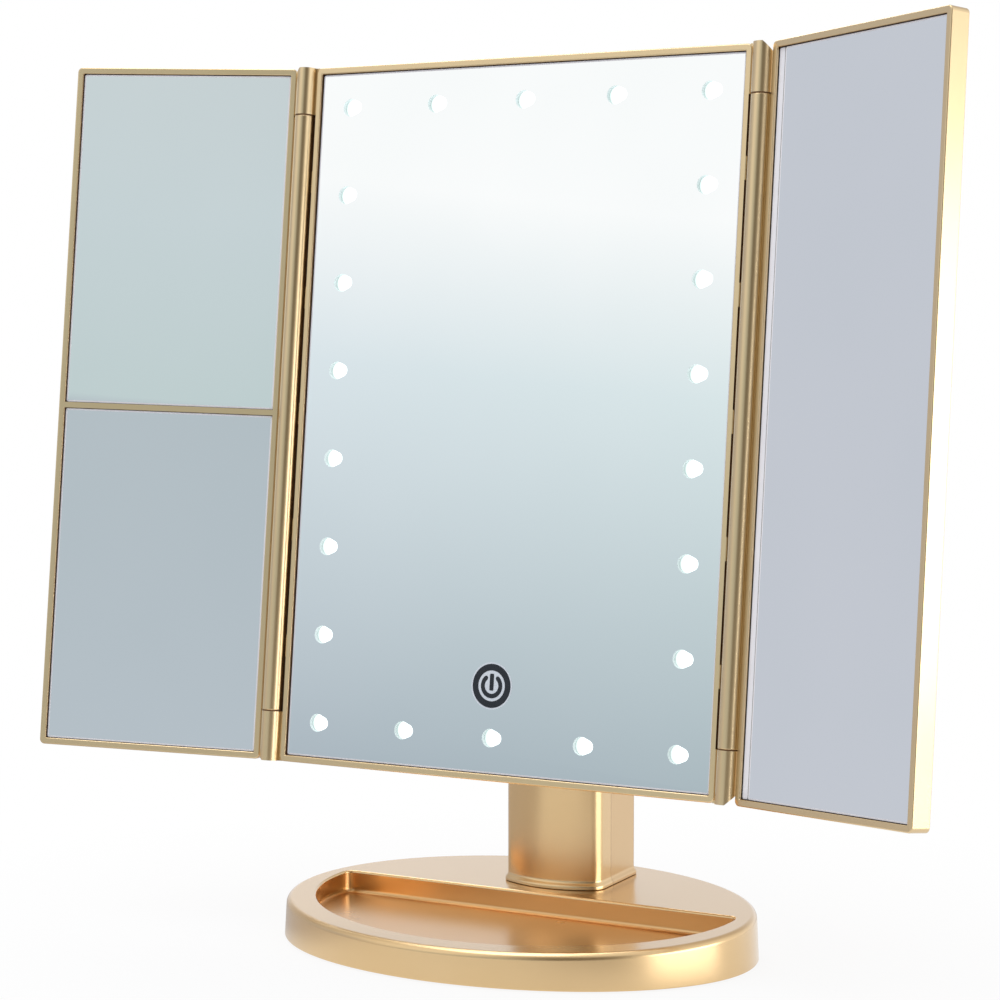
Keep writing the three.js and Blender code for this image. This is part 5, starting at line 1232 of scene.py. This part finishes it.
def battery_cell(side, level):
    """A can in a printed wrap, with bare ends: crimped rim, recessed top and nub."""
    bottom = BAY_BOTTOM + CONTACT_THICKNESS + SPRING_HEIGHT + 2 * SEAM
    bottom += level * (CELL_LENGTH + CELL_NUB_HEIGHT + SEAM)
    radius, length, nub, nub_top = CELL_RADIUS, CELL_LENGTH, CELL_NUB_RADIUS, CELL_LENGTH + CELL_NUB_HEIGHT
    thing = turned([
        (0, 0.3), (4.6, 0.3), (4.9, 0), (radius - 1.1, 0), (radius - 0.5, 0.1), (radius - 0.5, 0.35),
        (radius - 0.1, 0.4), (radius, 0.7), (radius, 0.7 * length), (radius, length - 0.7),
        (radius - 0.1, length - 0.2), (radius - 0.5, length), (radius - 1.0, length),
        (radius - 1.4, length - 0.4), (nub + 0.5, length - 0.4), (nub, length - 0.1), (nub, nub_top - 0.3),
        (nub - 0.3, nub_top), (0, nub_top),
    ], 64)

    def kind(face):
        reach = max(hypot(*thing.data.vertices[v].co.xy) for v in face.vertices)
        bare = reach < radius - 0.6 or face.center.z < 0.36
        return 1 if bare else 2 if face.center.z > 0.7 * length else 0

    paint(thing, (WRAP, NICKEL, WRAP_BAND), kind)
    thing.data.transform(Matrix.Translation((side * (CELL_RADIUS + SEAM / 2), CELL_Y, bottom)))
    return thing


def spring_plate():
    """The plate under the lower cells with a cone of wound wire for each."""
    bottom = BAY_BOTTOM + SEAM
    top = bottom + CONTACT_THICKNESS
    half = BAY_HALF_WIDTH - SEAM
    outline = rounded_rectangle(-half, half, BAY_FRONT + SEAM, DOOR_INNER - SEAM, 1)
    plate = loft(outline, [(-0.1, bottom), (0, bottom + 0.1), (0, top - 0.1), (-0.1, top)])
    wire, turns, steps = 0.34, 2.6, 120
    low, high = top + wire * 0.6, bottom + CONTACT_THICKNESS / 2 + SPRING_HEIGHT - wire
    coils = []
    for side in (LEFT, RIGHT):
        middle = Vector((side * (CELL_RADIUS + SEAM / 2), CELL_Y, 0))
        rings = []
        for i in range(steps + 1):
            share = i / steps
            angle = 2 * pi * turns * share
            out = Vector((cos(angle), sin(angle), 0))
            reach = (SPRING_FOOT_RADIUS - wire) * (1 - share) + (CELL_NUB_RADIUS - wire) * share
            centre = middle + out * reach + Vector((0, 0, low + (high - low) * share))
            rings.append([centre + out * wire * c + Vector((0, 0, wire * s)) for c, s in oval(1, 1, 10)])
        coils.append(skin(rings))
    return join(plate, *coils)


def switch_knob():
    """The slider of the switch, with ridges for the fingertip."""
    left = SWITCH_X - SWITCH_TRAVEL / 2 - SWITCH_KNOB[0] / 2
    front = POWER_BOARD_BACK - SWITCH_SIZE[1] / 2 + RUNNING_GAP
    back = COLUMN_BACK + SWITCH_STAND_OUT
    rise = SWITCH_KNOB[1] / 2
    knob = block((left, left + SWITCH_KNOB[0]), (front, back), around(SWITCH_MIDDLE, rise))
    grooves = []
    for i in (1, 2, 3):
        x = left + SWITCH_KNOB[0] * i / 4
        grooves.append(block(around(x, 0.14), (back - 0.35, back + PAST), (0, PIVOT_HEIGHT)))
    return cut(knob, *grooves)


screws()
for number, (level, side) in enumerate(((0, LEFT), (0, RIGHT), (1, LEFT), (1, RIGHT)), 1):
    cell = battery_cell(side, level)
    dress(cell, f"cell_{number}", "stand", [f"battery_cell_{number}"], "battery_wrap", bevel=0)
dress(spring_plate(), "spring_plate", "stand", ["spring_contact"], "nickel", bevel=0, sharp=40)
dress(switch_knob(), "switch_slider", "power_switch", ["power_switch_knob"], "black_plastic", bevel=0.08)

# CAD nodes that stay as they are take the dressed materials.
replaced = set()
for thing in bpy.data.objects:
    replaced.update(thing.get("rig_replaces", []))
slot_of = {entry["node"]: entry["material_slot"] for entry in frame["record"]["subparts"]}
for name, thing in frame["nodes"].items():
    if name not in replaced:
        thing.data.materials.clear()
        thing.data.materials.append(SLOTS[slot_of[name]])


# Studio. The room is a made-up one that only metal and glass see: rings of tones by elevation, and in
# each ring by azimuth, where -90 is straight in front of the object, 0 to its right and 90 behind it.
def wall_ring(beside, left, middle, right):
    """Left wall, the walls that the centre and left mirrors show, dark front, bright right, pale back."""
    return (
        (-180, LEFT_WALL), (-172, LEFT_ROOM), (-150, LEFT_ROOM), (-138, beside), (-129, left),
        (-113, middle), (-103, right), (-88, right), (-76, DARK_FRONT), (-46, DARK_FRONT), (-24, WHITE_TONE),
        (62, WHITE_TONE), (90, LILAC), (130, LILAC), (150, BACK_WALL), (180, LEFT_WALL),
    )


ROOM = {
    0.5: wall_ring((215, 212, 206), (174, 184, 194), (170, 184, 190), (185, 194, 202)),
    8.9: wall_ring((250, 248, 240), (223, 231, 237), (218, 231, 232), (183, 193, 199)),
    9.1: wall_ring((250, 248, 240), (224, 232, 238), (219, 232, 233), (195, 209, 210)),
    12.8: wall_ring(WHITE_TONE, WHITE_TONE, WHITE_TONE, (202, 213, 216)),
    32: (
        (-180, HIGH_WALL), (-150, WHITE_TONE), (-105, WHITE_TONE), (-80, DARK_FRONT), (-46, DARK_FRONT),
        (-24, WHITE_TONE), (40, WHITE_TONE), (75, DUSK), (150, DUSK), (180, HIGH_WALL),
    ),
    58: (
        (-180, CEILING), (-100, WHITE_TONE), (-80, HIGH_FRONT), (-40, WHITE_TONE), (40, CEILING),
        (75, DUSK), (150, DUSK), (180, CEILING),
    ),
    80: ((-180, WHITE_TONE), (180, WHITE_TONE)),
}


def studio_world():
    """White for the camera, plain light for matt surfaces, the room for metal and glass."""
    world = bpy.data.worlds.new("studio")
    bpy.context.scene.world = world
    world.use_nodes = True
    world.node_tree.nodes.clear()
    nodes = Nodes(world.node_tree)
    parts = nodes.add("SeparateXYZ")
    nodes.link(nodes.add("TexCoord").outputs["Generated"], parts.inputs[0])
    x, y, z = parts.outputs
    turn = nodes.value("ADD", nodes.value("MULTIPLY", nodes.value("ARCTAN2", y, x), 0.5 / pi), 0.5)
    elevation = nodes.value("MULTIPLY", nodes.value("ARCSINE", z), 180 / pi)
    room, lower = None, None
    for height, stops in ROOM.items():
        tones = nodes.ring(turn, stops)
        room = tones if room is None else nodes.mix(nodes.ramp(elevation, lower, height), room, tones)
        lower = height
    path = nodes.add("LightPath").outputs
    seen = nodes.value("ADD", path["Is Glossy Ray"], path["Is Transmission Ray"], clamp=True)
    light = nodes.mix(seen, WORLD_LIGHT, room)
    background = nodes.add("Background")
    nodes.link(nodes.mix(path["Is Camera Ray"], light, WHITE_TONE), background.inputs["Color"])
    nodes.link(background.outputs[0], nodes.add("OutputWorld").inputs["Surface"])


def stage_floor():
    """Pale floor: white for the camera but for a soft shadow; metal sees it with a painted shadow,
    greyer on the left, and polished on the right.
    """
    floor = form([(u, v, 0) for u, v in oval(1000, 1000, 96)], [tuple(range(96))])
    floor.name = "studio_floor"
    floor.data.transform(Matrix.Scale(MM, 4))
    material = bpy.data.materials.new("studio_floor")
    material.use_nodes = True
    material.node_tree.nodes.clear()
    nodes = Nodes(material.node_tree)
    coords = nodes.add("TexCoord").outputs["Object"]
    parts = nodes.add("SeparateXYZ")
    nodes.link(coords, parts.inputs[0])
    x, y, _ = parts.outputs
    length = nodes.add("VectorMath", operation="LENGTH")
    nodes.link(coords, length.inputs[0])
    path = nodes.add("LightPath").outputs
    lit = nodes.add("BsdfDiffuse", Color=(*linear(FLOOR_TONE), 1))
    white = nodes.add("Emission")
    # Painted shadow: the floor that metal sees is greyer on the left, where the object's shadow would fall.
    leftward = nodes.value("SUBTRACT", nodes.value("MULTIPLY", y, 0.5), nodes.value("MULTIPLY", x, 0.9))
    reflected = nodes.mix(nodes.ramp(leftward, 0.03, 0.075), FLOOR_SHINE, FLOOR_PAINTED_SHADOW)
    nodes.link(nodes.mix(path["Is Camera Ray"], reflected, WHITE_TONE), white.inputs["Color"])
    fade = nodes.ramp(length.outputs["Value"], 0.11, 0.28)
    whiter = nodes.value("MULTIPLY_ADD", fade, 0.12, 0.88)
    camera_share = nodes.value("MULTIPLY", whiter, path["Is Camera Ray"])
    glossy_share = nodes.value("MULTIPLY", 0.75, path["Is Glossy Ray"])
    share = nodes.value("ADD", camera_share, glossy_share, clamp=True)
    polish = nodes.add("BsdfGlossy", Color=(*linear(WHITE_TONE), 1), Roughness=0.2)
    grazing = nodes.add("Fresnel", IOR=1.5).outputs[0]
    polished = nodes.value("MULTIPLY", grazing, path["Is Glossy Ray"])
    polished = nodes.value("MULTIPLY", polished, nodes.ramp(x, 0.09, 0.15))

    def layer(share, under, over):
        mix = nodes.add("MixShader")
        for number, source in enumerate((share, under, over)):
            nodes.link(source, mix.inputs[number])
        return mix.outputs[0]

    surface = layer(polished, layer(share, lit.outputs[0], white.outputs[0]), polish.outputs[0])
    nodes.link(surface, nodes.add("OutputMaterial").inputs["Surface"])
    floor.data.materials.append(material)


def softbox(name, place, target, width, height, power):
    light = bpy.data.lights.new(name, "AREA")
    light.shape = "RECTANGLE"
    light.size, light.size_y = width, height
    light.energy = power
    thing = bpy.data.objects.new(name, light)
    thing.location = place
    thing.rotation_euler = (Vector(target) - Vector(place)).to_track_quat("-Z", "Y").to_euler()
    bpy.context.scene.collection.objects.link(thing)


def studio_camera():
    """The photograph's view: a long lens to the right of the front, a little above the middle."""
    yaw, pitch = radians(CAMERA_YAW), radians(CAMERA_PITCH)
    forward = Vector((-sin(yaw) * cos(pitch), cos(yaw) * cos(pitch), sin(pitch)))
    right = Vector((cos(yaw), sin(yaw), 0))
    up = right.cross(forward)
    camera = bpy.data.cameras.new("camera")
    camera.sensor_width = 36
    camera.lens = CAMERA_LENS
    camera.clip_end = 50
    thing = bpy.data.objects.new("camera", camera)
    facing = Matrix((right, up, -forward)).transposed().to_4x4()
    thing.matrix_world = Matrix.Translation(Vector(CAMERA_PLACE) * MM) @ facing
    bpy.context.scene.collection.objects.link(thing)
    bpy.context.scene.camera = thing


stage_floor()
studio_world()
softbox("top_box", (-0.4, -0.3, 1.6), (0, 0, 0.1), 0.95, 0.8, 5.3)
softbox("right_box", (1.25, -0.03, 0.20), (0, 0, 0.15), 1.15, 0.36, 3.7)
softbox("edge_box", (-0.8, 0.7, 1.1), (0, 0, 0.05), 0.5, 0.5, 2.4)
studio_camera()
bpy.context.scene.view_settings.view_transform = "Standard"
